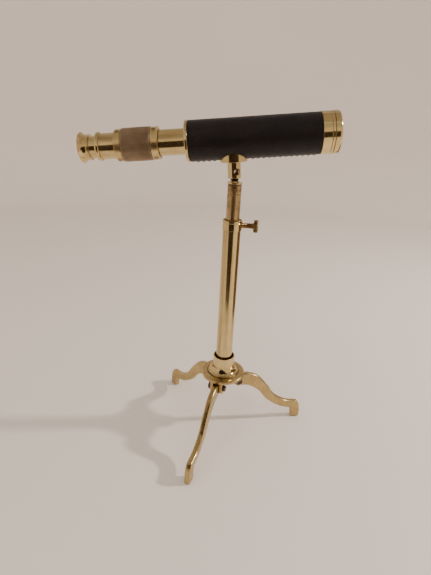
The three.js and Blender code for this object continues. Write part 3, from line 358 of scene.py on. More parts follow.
def second_look_where(obj, test):
    """Gives the second look to the faces whose middle, in millimetres, passes a test."""
    for face in obj.data.polygons:
        x, y, z = face.center / MM
        if test(math.hypot(x, y), z):
            face.material_index = 1


# ---------------------------------------------------------------------------
# Materials
# ---------------------------------------------------------------------------


class Graph:
    """A material's nodes, with one principled shader."""

    def __init__(self, name):
        self.material = bpy.data.materials.new(name)
        self.material.use_nodes = True
        self.tree = self.material.node_tree
        self.shader = self.tree.nodes["Principled BSDF"]
        self.where = self.tree.nodes.new("ShaderNodeTexCoord").outputs["Object"]

    def node(self, kind, inputs=None, **settings):
        made = self.tree.nodes.new(kind)
        for key, value in settings.items():
            setattr(made, key, value)
        for key, value in (inputs or {}).items():
            self.put(made.inputs[key], value)
        return made

    def put(self, socket, value):
        if isinstance(value, bpy.types.NodeSocket):
            self.tree.links.new(value, socket)
        else:
            socket.default_value = value

    def set(self, **values):
        for key, value in values.items():
            self.put(self.shader.inputs[key.replace("_", " ")], value)

    def stretched(self, x, y, z):
        return self.node("ShaderNodeMapping", {"Vector": self.where, "Scale": (x, y, z)}).outputs[0]

    def noise(self, scale, detail=3.0, roughness=0.55, vector=None, distortion=0.0):
        inputs = {
            "Vector": vector or self.where, "Scale": scale, "Detail": detail,
            "Roughness": roughness, "Distortion": distortion,
        }
        return self.node("ShaderNodeTexNoise", inputs).outputs["Fac"]

    def between(self, value, low, high, to_low=0.0, to_high=1.0):
        inputs = {
            "Value": value, "From Min": low, "From Max": high,
            "To Min": to_low, "To Max": to_high,
        }
        return self.node("ShaderNodeMapRange", inputs).outputs["Result"]

    def math(self, operation, a, b=0.0):
        return self.node("ShaderNodeMath", {0: a, 1: b}, operation=operation).outputs[0]

    def mix(self, share, a, b):
        mixer = self.node("ShaderNodeMix", data_type="RGBA")
        self.put(mixer.inputs[0], share)
        self.put(mixer.inputs[6], a if isinstance(a, bpy.types.NodeSocket) else (*a, 1))
        self.put(mixer.inputs[7], b if isinstance(b, bpy.types.NodeSocket) else (*b, 1))
        return mixer.outputs[2]

    def tint(self, colour, share, strength, over):
        """A colour with another laid over it by a share."""
        return self.mix(self.math("MULTIPLY", share, strength), colour, over)

    def bump(self, height, distance, below=None):
        inputs = {"Height": height, "Distance": distance}
        if below is not None:
            inputs["Normal"] = below
        return self.node("ShaderNodeBump", inputs).outputs[0]

    def crevices(self, distance, low=0.35, high=0.85):
        """Grime and painted shade in corners: 1 in a corner between surfaces that are closer than a
        distance, 0 in the open.
        """
        near = self.node("ShaderNodeAmbientOcclusion", {"Distance": distance}, samples=4)
        return self.between(near.outputs["AO"], low, high, 1.0, 0.0)

    def worn_edges(self, low=0.515, high=0.56):
        shape = self.node("ShaderNodeNewGeometry").outputs["Pointiness"]
        return self.between(shape, low, high)


BRASS_PALE = (0.735, 0.590, 0.285)
BRASS_WARM = (0.63, 0.480, 0.220)
BRASS_DULL = (0.57, 0.430, 0.200)
BRASS_OLIVE = (0.48, 0.355, 0.155)
BRASS_STAIN = (0.37, 0.265, 0.125)
BRASS_TARNISH = (0.33, 0.205, 0.085)
# Near-black brown of grime and painted shade in corners
BRASS_GRIME_AND_SHADE = (0.060, 0.034, 0.018)


def brass(name, lines, spots, roughness, spread, waviness, stain=0.15,
          pale=BRASS_PALE, warm=BRASS_WARM):
    """Polished brass: tool lines along one direction, tarnish spots, and grime with painted shade in
    corners.
    """
    g = Graph(name)
    cloud = g.between(g.noise(55, 4, 0.6), 0.35, 0.68)
    speck = g.between(g.noise(420, 6, 0.7), 0.60, 0.74, 0.0, spots)
    streak = g.noise(1.0, 3, 0.6, vector=g.stretched(*lines))
    # Ambient occlusion darkens the corners: grime and painted shade
    grime_and_shade = g.crevices(0.0016)
    runs = g.noise(1.0, 4, 0.6, vector=g.stretched(260, 260, 11))
    colour = g.mix(cloud, warm, pale)
    colour = g.mix(g.between(runs, 0.46, 0.68, 0.0, stain), colour, BRASS_STAIN)
    colour = g.mix(speck, colour, BRASS_TARNISH)
    colour = g.tint(colour, grime_and_shade, 0.85, BRASS_GRIME_AND_SHADE)
    rough = g.between(streak, 0.3, 0.7, roughness, roughness + spread)
    rough = g.math("ADD", rough, g.math("MULTIPLY", speck, 0.3))
    rough = g.math("ADD", rough, g.math("MULTIPLY", grime_and_shade, 0.25))
    wave = g.bump(g.noise(70, 2, 0.4), 0.0004 * waviness)
    fine = g.bump(streak, 0.000006, below=wave)
    g.set(Base_Color=colour, Metallic=1.0, Roughness=rough, Normal=fine)
    return g.material


def aged_brass(name, tarnish, rubbed_colour, lines, blotches):
    """Brass gone brown by handling, brighter where it is rubbed, with dark blotches."""
    g = Graph(name)
    runs = g.noise(1.0, 5, 0.65, vector=g.stretched(*lines))
    blotch = g.between(g.noise(160, 6, 0.7, distortion=0.6), 0.47, 0.62)
    rubbed = g.between(runs, 0.50, 0.66)
    grime_and_shade = g.crevices(0.0014)
    colour = g.mix(rubbed, tarnish, rubbed_colour)
    colour = g.tint(colour, blotch, blotches, (0.105, 0.055, 0.033))
    colour = g.tint(colour, g.worn_edges(), 0.6, BRASS_WARM)
    # Painted shade, with grime, darkens the corners
    colour = g.tint(colour, grime_and_shade, 0.9, (0.03, 0.017, 0.012))
    rough = g.between(runs, 0.3, 0.7, 0.42, 0.24)
    rough = g.math("ADD", rough, g.math("MULTIPLY", blotch, 0.14))
    pits = g.bump(g.noise(900, 4, 0.6), 0.00004)
    g.set(Base_Color=colour, Metallic=1.0, Roughness=rough, Normal=pits)
    return g.material


def knurled_brass():
    """Satin brown finish on the knurled grip, bright on the crests that hands rub."""
    g = Graph("knurled_brass")
    cloud = g.between(g.noise(75, 5, 0.6), 0.36, 0.66)
    grime_and_shade = g.crevices(0.0009, 0.45, 0.95)
    colour = g.mix(cloud, (0.30, 0.215, 0.14), (0.44, 0.325, 0.215))
    colour = g.tint(colour, g.worn_edges(0.51, 0.60), 0.55, (0.56, 0.43, 0.28))
    # Painted shade, with grime, darkens the grooves of the knurl
    colour = g.tint(colour, grime_and_shade, 0.7, (0.055, 0.032, 0.021))
    rough = g.between(g.noise(700, 4, 0.6), 0.3, 0.7, 0.36, 0.52)
    g.set(Base_Color=colour, Metallic=1.0, Roughness=rough)
    return g.material


def dark_steel():
    """Oil-blackened steel with brown bloom and bare edges."""
    g = Graph("dark_steel")
    bloom = g.between(g.noise(520, 5, 0.65), 0.45, 0.68)
    grime_and_shade = g.crevices(0.001)
    colour = g.mix(bloom, (0.045, 0.035, 0.032), (0.13, 0.075, 0.05))
    colour = g.tint(colour, g.worn_edges(), 0.7, (0.32, 0.28, 0.25))
    # Painted shade, with grime, darkens the corners
    colour = g.tint(colour, grime_and_shade, 0.8, (0.012, 0.009, 0.008))
    rough = g.between(g.noise(1200, 3, 0.6), 0.3, 0.7, 0.34, 0.55)
    pits = g.bump(g.noise(1500, 3, 0.6), 0.00003)
    g.set(Base_Color=colour, Metallic=1.0, Roughness=rough, Normal=pits)
    return g.material


def leather(name, gloss):
    """Black leather: pebbled grain, fine creases and a dull bloom where it is handled."""
    g = Graph(name)
    cells = g.node("ShaderNodeTexVoronoi", {"Vector": g.where, "Scale": 950.0}, feature="SMOOTH_F1")
    pebble = cells.outputs["Distance"]
    crease = g.noise(260, 6, 0.65, distortion=0.8)
    bloom = g.between(g.noise(38, 4, 0.6), 0.36, 0.7)
    colour = g.mix(bloom, (0.0075, 0.0050, 0.0056), (0.015, 0.0103, 0.0112))
    colour = g.mix(g.between(pebble, 0.25, 0.7), colour, (0.0045, 0.0032, 0.0036))
    rough = g.between(crease, 0.3, 0.7, gloss, gloss + 0.16)
    grain = g.bump(pebble, -0.00009)
    folds = g.bump(crease, 0.00016, below=grain)
    g.set(Base_Color=colour, Roughness=rough, Normal=folds, Specular_IOR_Level=0.27)
    return g.material


def waxed_thread():
    """Black waxed thread of twisted strands."""
    g = Graph("waxed_thread")
    strand = g.noise(1.0, 2, 0.5, vector=g.stretched(2600, 900, 2600))
    colour = g.mix(g.between(strand, 0.35, 0.65), (0.003, 0.0022, 0.0024), (0.010, 0.0075, 0.0078))
    g.set(Base_Color=colour, Roughness=0.5, Normal=g.bump(strand, 0.00008), Specular_IOR_Level=0.12)
    return g.material


def optical_glass():
    """Coated glass, with a little dust towards its edge."""
    g = Graph("optical_glass")
    dust = g.between(g.noise(1400, 5, 0.7), 0.62, 0.80, 0.0, 0.16)
    rough = g.math("ADD", dust, 0.01)
    tint = g.mix(g.between(g.noise(30, 2, 0.5), 0.3, 0.7), (0.96, 0.985, 0.975), (0.93, 0.97, 0.985))
    g.set(Base_Color=tint, Roughness=rough, IOR=1.52, Transmission_Weight=1.0)
    g.set(Coat_Weight=0.5, Coat_Roughness=0.02, Coat_Tint=(0.80, 0.86, 1.0, 1))
    return g.material


def liner_plastic():
    """Amber nylon liner of the ball joint."""
    g = Graph("liner_plastic")
    cloud = g.noise(300, 4, 0.6)
    colour = g.mix(g.between(cloud, 0.3, 0.7), (0.15, 0.105, 0.055), (0.24, 0.175, 0.095))
    rough = g.between(g.noise(1500, 3, 0.5), 0.3, 0.7, 0.38, 0.55)
    g.set(Base_Color=colour, Roughness=rough, Normal=g.bump(cloud, 0.00003))
    return g.material


# Tool lines run round a turned piece, along a drawn tube, and any way on a casting.
ROUND_LINES = (70, 70, 3200)
LONG_LINES = (1500, 1500, 16)
CAST_LINES = (140, 140, 140)

TURNED = brass("turned_brass", ROUND_LINES, 0.30, 0.085, 0.07, 0.06)
DRAWN = brass("drawn_brass", LONG_LINES, 0.40, 0.11, 0.12, 0.10, 0.75)
SATIN = brass("satin_brass", ROUND_LINES, 0.35, 0.24, 0.10, 0.06)
CAST = brass("cast_brass", CAST_LINES, 0.15, 0.23, 0.10, 0.22, 0.35, BRASS_DULL, BRASS_OLIVE)
RUBBED = aged_brass("rubbed_brass", (0.44, 0.31, 0.155), (0.70, 0.54, 0.26), (330, 330, 24), 0.4)
AGED = aged_brass("aged_brass", (0.30, 0.19, 0.095), (0.58, 0.42, 0.20), (330, 330, 45), 0.5)
OXIDISED = aged_brass(
    "oxidised_brass", (0.085, 0.048, 0.030), (0.20, 0.125, 0.068), (200, 200, 200), 0.5,
)
KNURLED = knurled_brass()
STEEL = dark_steel()
LEATHER = leather("black_leather", 0.42)
THREAD = waxed_thread()
GLASS = optical_glass()
LINER = liner_plastic()


# ---------------------------------------------------------------------------
# Legs and base
# ---------------------------------------------------------------------------


# Rounding of a leg's long edges, and the screwdriver slots of the larger screws
LEG_EDGE = 1.7
SLOT_WIDTH = 0.8
SLOT_DEPTH = 0.9


def side_outline(node, spot):
    """The outline of a plate's far face in its local frame, as ordered (X, Z) points."""
    mesh = frame["nodes"][node].data
    points = local_points(node, spot)
    face_at = points[:, 1].max() - 0.01
    shared = {}
    keys = [tuple(np.round(p, 3)) for p in points]
    for triangle in mesh.polygons:
        corners = list(triangle.vertices)
        if min(points[c][1] for c in corners) < face_at:
            continue
        for a, b in zip(corners, corners[1:] + corners[:1]):
            pair = (keys[a], keys[b])
            if pair[::-1] in shared:
                del shared[pair[::-1]]
            else:
                shared[pair] = True
    following = {a: b for a, b in shared}
    loops = []
    while following:
        start, _ = next(iter(following.items()))
        loop = [start]
        step = following.pop(start)
        while step != start:
            loop.append(step)
            step = following.pop(step)
        loops.append([(x, z) for x, _, z in loop])
    return max(loops, key=len)


def smoothed_outline(outline, corner_angle=36, steps=4):
    """A smooth curve through an outline's points that leaves its sharp corners."""
    points = [Vector(p) for p in outline]
    count = len(points)

    def turn(i):
        before = points[i] - points[i - 1]
        after = points[(i + 1) % count] - points[i]
        return math.degrees(before.angle(after, 0))

    sharp = [turn(i) > corner_angle for i in range(count)]
    done = []
    for i in range(count):
        a, b = points[i], points[(i + 1) % count]
        done.append(tuple(a))
        straight = (b - a).length > 6 or (sharp[i] and sharp[(i + 1) % count])
        if straight:
            continue
        before = a if sharp[i] else points[i - 1]
        after = b if sharp[(i + 1) % count] else points[(i + 2) % count]
        for step in range(1, steps):
            t = step / steps
            done.append(tuple(catmull_rom(before, a, b, after, t)))
    return done


def catmull_rom(p0, p1, p2, p3, t):
    """A point between p1 and p2 on a curve through four points."""
    steady = 2 * p1
    first = (p2 - p0) * t
    second = (2 * p0 - 5 * p1 + 4 * p2 - p3) * t**2
    third = (3 * p1 - p0 - 3 * p2 + p3) * t**3
    return (steady + first + second + third) / 2


def leg(index):
    """Cast S-shaped leg: a flat bar with soft edges, bored for its hinge pin."""
    spot = leg_place(index)
    node = f"leg_{index}"
    points = local_points(node, spot)
    outline = smoothed_outline(side_outline(node, spot))
    bar = plate(f"{node}_casting", outline, points[:, 1].min(), points[:, 1].max(), spot)
    bevelled(bar, LEG_EDGE, 5, 45, clamp=False)
    combine(bar, [pin_hole(index)])
    hand_in(bar, node, "polished_brass", CAST, node)


def pin_radius():
    """Radius of the hinge screws' shanks."""
    spot = pin_place(1)
    return radii_at("hinge_screw_1", spot, size("hinge_screw_1", spot).start)[1]


def pin_hole(index):
    return drill(pin_radius() + SLIDE_GAP, pin_place(index))


def lug_pair(index, underside):
    """The two cheeks under the disc that hold one leg's pin."""
    spot = leg_place(index)
    pin = spot.inverted() @ Vector(joint(f"leg_{index}_fold")["pos_m"]) / MM
    leg_half = local_points(f"leg_{index}", spot)[:, 1].max()
    inner = leg_half + SLIDE_GAP
    knuckle = pin.x - local_points(f"leg_{index}", spot)[:, 0].min()
    centre = local_points("base_disc", spot)[:, 2].min() + knuckle
    outer = size(f"hinge_nut_{index}", pin_place(index)).end
    end = [point[:2] for point in arc(pin.x, centre, knuckle, math.pi, 2 * math.pi, 20)]
    root = underside + 1.2
    outline = [(pin.x - knuckle, root), *end, (pin.x + knuckle, root)]
    made = []
    for side in (-1, 1):
        low, high = sorted((side * inner, side * (abs(outer) - SEAT_GAP)))
        cheek = plate("lug", outline, low, high, spot)
        bevelled(cheek, 0.6, 3, 60)
        made.append(cheek)
    return made


def base():
    """Disc casting with its three pairs of lugs, and a groove round the socket's foot."""
    disc = size("base_disc", COLUMN)
    underside = size("base_washer", COLUMN).end + SEAT_GAP
    bolt = radii_at("base_bolt", COLUMN, size("base_bolt", COLUMN).end)[1]
    foot = size("column_socket", COLUMN).radius
    groove = foot + 0.55
    groove_floor = disc.end - 0.6
    rim_foot = underside + 0.25
    rim = 1.5
    body = turned("base_casting", [
        (bolt + SEAT_GAP, underside),
        (disc.radius - 3.2, underside, 0.3), (disc.radius - 2.6, rim_foot, 0.3),
        (disc.radius, rim_foot, rim), (disc.radius, disc.end, rim),
        (groove + 0.55, disc.end, 0.3), (groove + 0.3, groove_floor, 0.12),
        (groove - 0.3, groove_floor, 0.12), (groove - 0.55, disc.end, 0.12),
        (bolt + SEAT_GAP, disc.end),
    ], COLUMN, LARGE)
    lugs = [lug for i in (1, 2, 3) for lug in lug_pair(i, underside)]
    combine(body, lugs, "UNION")
    combine(body, [pin_hole(i) for i in (1, 2, 3)])
    hand_in(body, "stand", "polished_brass", CAST, "base_disc")


def slot_cutter(width, depth, top, length, spot, turn=0.0):
    """A bar that cuts a screwdriver slot across a head whose top is at a height."""
    across = spot @ Matrix.Rotation(turn, 4, "Z")
    return block((-width / 2, -length / 2, top - depth), (width / 2, length / 2, top + 1), across)


def thread_profile(radius, start, end, pitch, depth, crest=0):
    """Profile points of a screw thread that ends on a crest."""
    points = []
    height = start
    while height < end:
        points += [(radius, height, 0), (radius - depth, height + pitch / 2, 0)]
        height += pitch
    return [*points, (radius, height, crest)]


def hinge_screw(index):
    """Blackened cheese-head screw through a leg's knuckle, with its thread's end showing."""
    spot = pin_place(index)
    whole = size(f"hinge_screw_{index}", spot)
    shank = pin_radius()
    head = first_past(f"hinge_screw_{index}", spot, shank + 0.5)
    thread = thread_profile(shank, whole.start + 0.25, whole.start + 3.2, 0.44, 0.22, 0.05)
    profile = [
        (0, whole.start), (shank - 0.3, whole.start, 0.1), *thread,
        (shank, head, 0), (whole.radius, head, 0.2),
        (whole.radius, whole.end, 0.7), (0, whole.end),
    ]
    screw = turned(f"hinge_screw_{index}_head", profile, spot, SMALL, 0.05)
    combine(screw, [slot_cutter(SLOT_WIDTH, SLOT_DEPTH, whole.end, 8, spot, 0.6 + 0.9 * index)])
    hand_in(screw, "stand", "dark_steel", STEEL, f"hinge_screw_{index}")


def hexagon(name, flats, start, end, bore, spot, turn=0.0):
    """A hexagon with round chamfers at both ends, and a hole if it has a bore."""
    corners = flats / 2 / math.cos(math.pi / 6)
    body = lathe(name, [Vector(p) for p in rod(corners, start, end)], 6,
                 spot @ Matrix.Rotation(turn, 4, "Z"), closed=False)
    body.data.transform(Matrix.Rotation(turn, 4, "Z"))
    body.matrix_world = spot
    deep = (corners - flats / 2) * 0.62
    chamfer = turned("cutter", [
        (0, start), (flats / 2 - 0.05, start, 0), (corners + 0.02, start + deep, 0),
        (corners + 0.02, end - deep, 0), (flats / 2 - 0.05, end, 0), (0, end),
    ], spot, SMALL)
    combine(body, [chamfer], "INTERSECT")
    if bore:
        wide = bore + 0.55
        hole = turned("cutter", [
            (0, start - 1), (wide, start - 1, 0), (wide, start, 0), (bore, start + 0.4, 0),
            (bore, end - 0.4, 0), (wide, end, 0), (wide, end + 1, 0), (0, end + 1),
        ], spot, SMALL)
        combine(body, [hole])
    return bevelled(body, 0.09, 2, 25)


def hinge_nut(index):
    spot = pin_place(index)
    whole = size(f"hinge_nut_{index}", spot)
    flats = 2 * whole.radius * math.cos(math.pi / 6)
    nut = hexagon(f"hinge_nut_{index}_fine", flats, whole.start, whole.end,
                  pin_radius() + SEAT_GAP, spot, 0.25 * index)
    hand_in(nut, "stand", "dark_steel", STEEL, f"hinge_nut_{index}")


def base_fixings():
    """Bolt and washer under the disc that hold the column on."""
    plain_tube("base_washer", COLUMN, "stand", "aged_brass", AGED, 0.3, sides=MEDIUM)
    bolt = size("base_bolt", COLUMN)
    shank = radii_at("base_bolt", COLUMN, bolt.end)[1]
    top = size("base_washer", COLUMN).start - SEAT_GAP
    flats = 2 * bolt.radius * math.cos(math.pi / 6)
    body = hexagon("base_bolt_fine", flats, bolt.start, top, 0, COLUMN)
    stem = turned("stem", rod(shank, top - 1, bolt.end), COLUMN, SMALL, 0.4)
    combine(body, [stem], "UNION")
    hand_in(body, "stand", "dark_steel", STEEL, "base_bolt")


# ---------------------------------------------------------------------------
# Column
# ---------------------------------------------------------------------------


def column_socket():
    """Flared foot and open cup round the column, with a hole for the set screw."""
    whole = size("column_socket", COLUMN)
    bore, cup = radii_at("column_socket", COLUMN, whole.end)
    column = size("column_tube", COLUMN)
    floor = column.start - SEAT_GAP
    bolt = whole.bore
    screw_z = middle("column_set_screw").z / MM
    cup_bottom = max(p[2] for p in local_points("column_socket", COLUMN)
                     if p[2] < whole.end - 1 and abs(math.hypot(p[0], p[1]) - bore) < 0.2)
    lip = 1.0
    flare = []
    for i in range(13):
        share = math.radians(90 * i / 12)
        wide = whole.radius + (cup - whole.radius) * math.sin(share)
        rise = (cup_bottom - whole.start - lip) * (1 - math.cos(share))
        flare.append((wide, whole.start + lip + rise, 0))
    flare[0] = (whole.radius, whole.start + lip, 0.35)
    profile = [
        (bolt, whole.start), (whole.radius - 0.25, whole.start, 0.1),
        (whole.radius, whole.start + 0.25, 0.1), *flare,
        (cup, whole.end, 0.28), (bore, whole.end, 0.28), (bore, cup_bottom, 0.5),
        (column.radius + SEAT_GAP, cup_bottom, 0.2), (column.radius + SEAT_GAP, floor, 0),
        (bolt, floor, 0),
    ]
    socket = turned("column_socket_fine", profile, COLUMN, LARGE)
    screw_hole = drill(2.5, set_screw_place(screw_z), column.radius - 1, whole.radius)
    combine(socket, [screw_hole])
    hand_in(socket, "stand", "polished_brass", TURNED, "column_socket")


def set_screw_place(height):
    """A frame along the set screw, out from the column."""
    out = middle("column_set_screw") - COLUMN.translation
    out.z = 0
    origin = Vector((column_middle.x, column_middle.y, height * MM))
    return place(origin, out, UP)


def column_set_screw():
    spot = set_screw_place(middle("column_set_screw").z / MM)
    whole = size("column_set_screw", spot)
    screw = turned("column_set_screw_fine", rod(whole.radius, whole.start, whole.end - 0.2),
                   spot, SMALL, 0.35)
    combine(screw, [slot_cutter(SLOT_WIDTH, SLOT_DEPTH, whole.end - 0.2, 7, spot, 0.5)])
    hand_in(screw, "stand", "dark_steel", STEEL, "column_set_screw")


def thumb_hole():
    shank = size("thumb_screw", THUMB)
    radius = radii_at("thumb_screw", THUMB, shank.start)[1]
    return drill(radius + SLIDE_GAP, THUMB, 3, 14)


def column_tubes():
    """Column, the bush in its mouth and the collar that the thumbscrew is screwed into."""
    plain_tube("column_tube", COLUMN, "stand", "polished_brass", DRAWN, 0.2, [thumb_hole()])
    plain_tube("column_bush", COLUMN, "stand", "aged_brass", AGED, 0.15, [thumb_hole()], MEDIUM)
    whole = size("column_collar", COLUMN)
    line = whole.end - 2.2
    collar = turned("column_collar_fine", [
        (whole.bore, whole.start, 0.1), (whole.radius, whole.start, 0.25),
        (whole.radius, line - 0.25, 0.05), (whole.radius - 0.16, line, 0.05),
        (whole.radius, line + 0.25, 0.05), (whole.radius, whole.end, 0.28),
        (whole.bore, whole.end, 0.28),
    ], COLUMN, LARGE)
    combine(collar, [thumb_hole()])
    hand_in(collar, "stand", "polished_brass", TURNED, "column_collar")


def knurl(count, depth, start, end, fade=0.5, wide=0.0):
    """A radius changer that cuts straight flutes between two heights."""

    def shape(angle, radius, height):
        inside = min(height - start, end - height)
        if inside <= 0 or radius < wide:
            return radius
        share = min(1, inside / fade)
        return radius - depth * share * (0.5 - 0.5 * math.cos(count * angle))

    return shape


def thumb_screw():
    """Thumbscrew: a threaded shank and a fluted head, dished on its face."""
    whole = size("thumb_screw", THUMB)
    shank = radii_at("thumb_screw", THUMB, whole.start)[1]
    neck = first_past("thumb_screw", THUMB, whole.radius - 1)
    clear = size("column_collar", COLUMN).radius + 0.8
    thread = thread_profile(shank, clear, neck - 2.2, 0.64, 0.28)
    flank = [neck + (whole.end - neck) * i / 8 for i in range(1, 8)]
    profile = [
        (0, whole.start), (shank - 0.4, whole.start, 0.1), (shank, whole.start + 0.5, 0.1), *thread,
        (shank, neck, 0.35), (whole.radius - 0.6, neck, 0.1),
        (whole.radius, neck + 0.6, 0.1), *[(whole.radius, z, 0) for z in flank],
        (whole.radius, whole.end - 0.6, 0.1), (whole.radius - 0.7, whole.end, 0.15),
        (whole.radius - 1.6, whole.end, 0.15), (whole.radius - 2.1, whole.end - 0.35, 0.15),
        (0, whole.end - 0.35),
    ]
    flutes = knurl(40, 0.38, neck + 0.3, whole.end - 0.3, 0.6, whole.radius - 0.5)
    screw = turned("thumb_screw_fine", profile, THUMB, 240, 0.1, flutes)
    hand_in(screw, "thumb", "aged_brass", AGED, "thumb_screw")


# ---------------------------------------------------------------------------
# Pole and ball joint
# ---------------------------------------------------------------------------


def inner_pole():
    """Telescoping pole with two turned lines under its cap."""
    whole = size("inner_pole", COLUMN)
    lines = []
    for below in (3.4, 2.2):
        z = whole.end - below
        deep = whole.radius - 0.28
        lines += [(whole.radius, z - 0.3, 0.05), (deep, z, 0.05), (whole.radius, z + 0.3, 0.05)]
    pole = turned("inner_pole_fine", [
        (whole.bore, whole.start), (whole.radius, whole.start), *lines,
        (whole.radius, whole.end, 0.45), (whole.bore, whole.end, 0.1),
    ], COLUMN, MEDIUM)
    hand_in(pole, "pole", "aged_brass", RUBBED, "inner_pole")


def swivel_cap():
    """Cap on the pole with a bright flange, hollowed for the ball."""
    whole = size("swivel_cap", COLUMN)
    pole = size("inner_pole", COLUMN)
    shoulder = pole.end + SEAT_GAP
    spigot = pole.bore - SEAT_GAP
    ball = BALL.z / MM
    flange = whole.end - 1.4
    socket_lip = radii_at("swivel_cap", COLUMN, whole.end)[0]
    socket = math.hypot(socket_lip, whole.end - ball)
    throat = radii_at("swivel_cap", COLUMN, whole.start)[0]
    lip_angle = math.asin((whole.end - ball) / socket)
    low_angle = -math.acos(throat / socket)
    bowl = arc(0, ball, socket, lip_angle, low_angle, 16)
    profile = [
        (throat, whole.start, 0), (spigot, whole.start, 0.2), (spigot, shoulder, 0),
        (pole.radius, shoulder, 0.35), (pole.radius, shoulder + 1.3, 0.1),
        (pole.radius - 0.3, shoulder + 1.7, 0.1), (pole.radius, shoulder + 2.1, 0.1),
        (pole.radius, flange - 1.1, 0.3), (pole.radius - 0.75, flange, 0.3),
        (whole.radius, flange, 0.3), (whole.radius, whole.end, 0.3), *bowl,
    ]
    cap = turned("swivel_cap_fine", profile, COLUMN, MEDIUM)
    hand_in(cap, "swivel", "polished_brass", [AGED, TURNED], "swivel_cap")
    second_look_where(cap, lambda r, z: z > flange - 0.05 and r > socket_lip - 0.05)


def ball_liner():
    """Thin shell of a sphere between the ball and its socket."""
    points = local_points("ball_liner", COLUMN) - np.array((0, 0, BALL.z / MM))
    spans = np.linalg.norm(points, axis=1)
    heights = points[:, 2]
    shell = []
    for radius, order in ((spans.max(), 1), (spans.min(), -1)):
        near = abs(spans - radius) < 0.02
        low = math.asin(heights[near].min() / radius)
        high = math.asin(heights[near].max() / radius)
        shell += arc(0, BALL.z / MM, radius, low, high, 24)[::order]
    liner = turned("ball_liner_fine", shell, COLUMN, MEDIUM)
    hand_in(liner, "liner", "liner_plastic", LINER, "ball_liner")


def ball_stud():
    """Ball with a waisted neck and a grooved collar under the coupling sleeve."""
    whole = size("ball_stud", STEM)
    sleeve = size("coupling_sleeve", STEM)
    ball = -whole.start
    waist = 2.4
    collar_from = 3.8
    collar_to = sleeve.start - SEAT_GAP
    collar = radii_at("ball_stud", STEM, collar_from)[1]
    groove = (collar_from + collar_to) / 2
    neck_angle = math.acos(waist / ball)
    sphere = arc(0, 0, ball, -math.pi / 2, neck_angle, 28)
    sphere[0] = (0, -ball, 0)
    spigot = sleeve.bore - SEAT_GAP
    profile = [
        *sphere, (waist, collar_from, 0.2), (collar, collar_from, 0.22),
        (collar, groove - 0.35, 0.1), (collar - 0.55, groove, 0.08), (collar, groove + 0.35, 0.1),
        (collar, collar_to, 0.2), (spigot, collar_to, 0), (spigot, whole.end, 0.3), (0, whole.end),
    ]
    stud = turned("ball_stud_fine", profile, STEM, MEDIUM)
    hand_in(stud, "telescope", "aged_brass", [OXIDISED, TURNED], "ball_stud")
    second_look_where(stud, lambda r, z: z < 3.0)


def cross_hole_place():
    """A frame along the cross hole in the coupling sleeve, from the CAD node's hole."""
    points = local_points("coupling_sleeve", STEM)
    sleeve = size("coupling_sleeve", STEM)
    edge = points[(points[:, 2] > sleeve.start + 1) & (points[:, 2] < sleeve.end - 1)]
    centre = edge[:, 2].mean()
    outer = edge[radii_of(edge) > sleeve.radius - 0.4]
    angle = np.arctan2(outer[:, 1], outer[:, 0])
    half = np.angle(np.mean(np.exp(2j * angle))) / 2
    origin = STEM @ (Vector((0, 0, centre)) * MM)
    direction = STEM.to_3x3() @ Vector((math.cos(half), math.sin(half), 0))
    reach = abs(edge[:, 2] - centre).max()
    return place(origin, direction, STEM.to_3x3() @ UP), reach


def coupling_sleeve():
    """Sleeve between the ball stud and the saddle, with a cross hole to grip it by."""
    whole = size("coupling_sleeve", STEM)
    profile = tube(whole.bore, whole.radius, whole.start, whole.end)
    sleeve = turned("coupling_sleeve_fine", profile, STEM, LARGE, 0.28)
    spot, radius = cross_hole_place()
    combine(sleeve, [drill(radius, spot, -9, 9)])
    bevelled(sleeve, 0.14, 2, 45)
    hand_in(sleeve, "telescope", "polished_brass", [TURNED, OXIDISED], "coupling_sleeve")
    low, high = whole.start + 0.3, whole.end - 0.3
    second_look_where(sleeve, lambda r, z: r < whole.radius - 0.3 and low < z < high)


def saddle():
    """Round saddle, cradled to the barrel."""
    whole = size("saddle", STEM)
    sleeve = size("coupling_sleeve", STEM)
    barrel = size("main_barrel", SCOPE)
    height = (axis_foot - BALL).length / MM
    bottom = sleeve.end + SEAT_GAP
    stub = sleeve.bore - SEAT_GAP
    profile = [
        (0, whole.start), (stub, whole.start, 0.3), (stub, bottom, 0), (whole.radius, bottom, 0.35),
        (whole.radius, height, 0), (0, height),
    ]
    body = turned("saddle_fine", profile, STEM, LARGE)
    cradle = drill(barrel.radius + CRADLE_GAP, SCOPE, sides=LARGE)
    above = block((-20, -20, whole.end), (20, 20, height + 5), STEM)
    combine(body, [cradle, above])
    hand_in(body, "telescope", "polished_brass", TURNED, "saddle")


# ---------------------------------------------------------------------------
# Telescope body
# ---------------------------------------------------------------------------


# The seam's stitches, and the ridge that it raises in the leather
SEAM_PITCH = 4.8
SEAM_RISE = 0.6
SEAM_SPREAD = 1.5


def seam_ridge(off):
    """Height of the ridge at a distance from the seam."""
    return SEAM_RISE * math.exp(-((off / SEAM_SPREAD) ** 2))


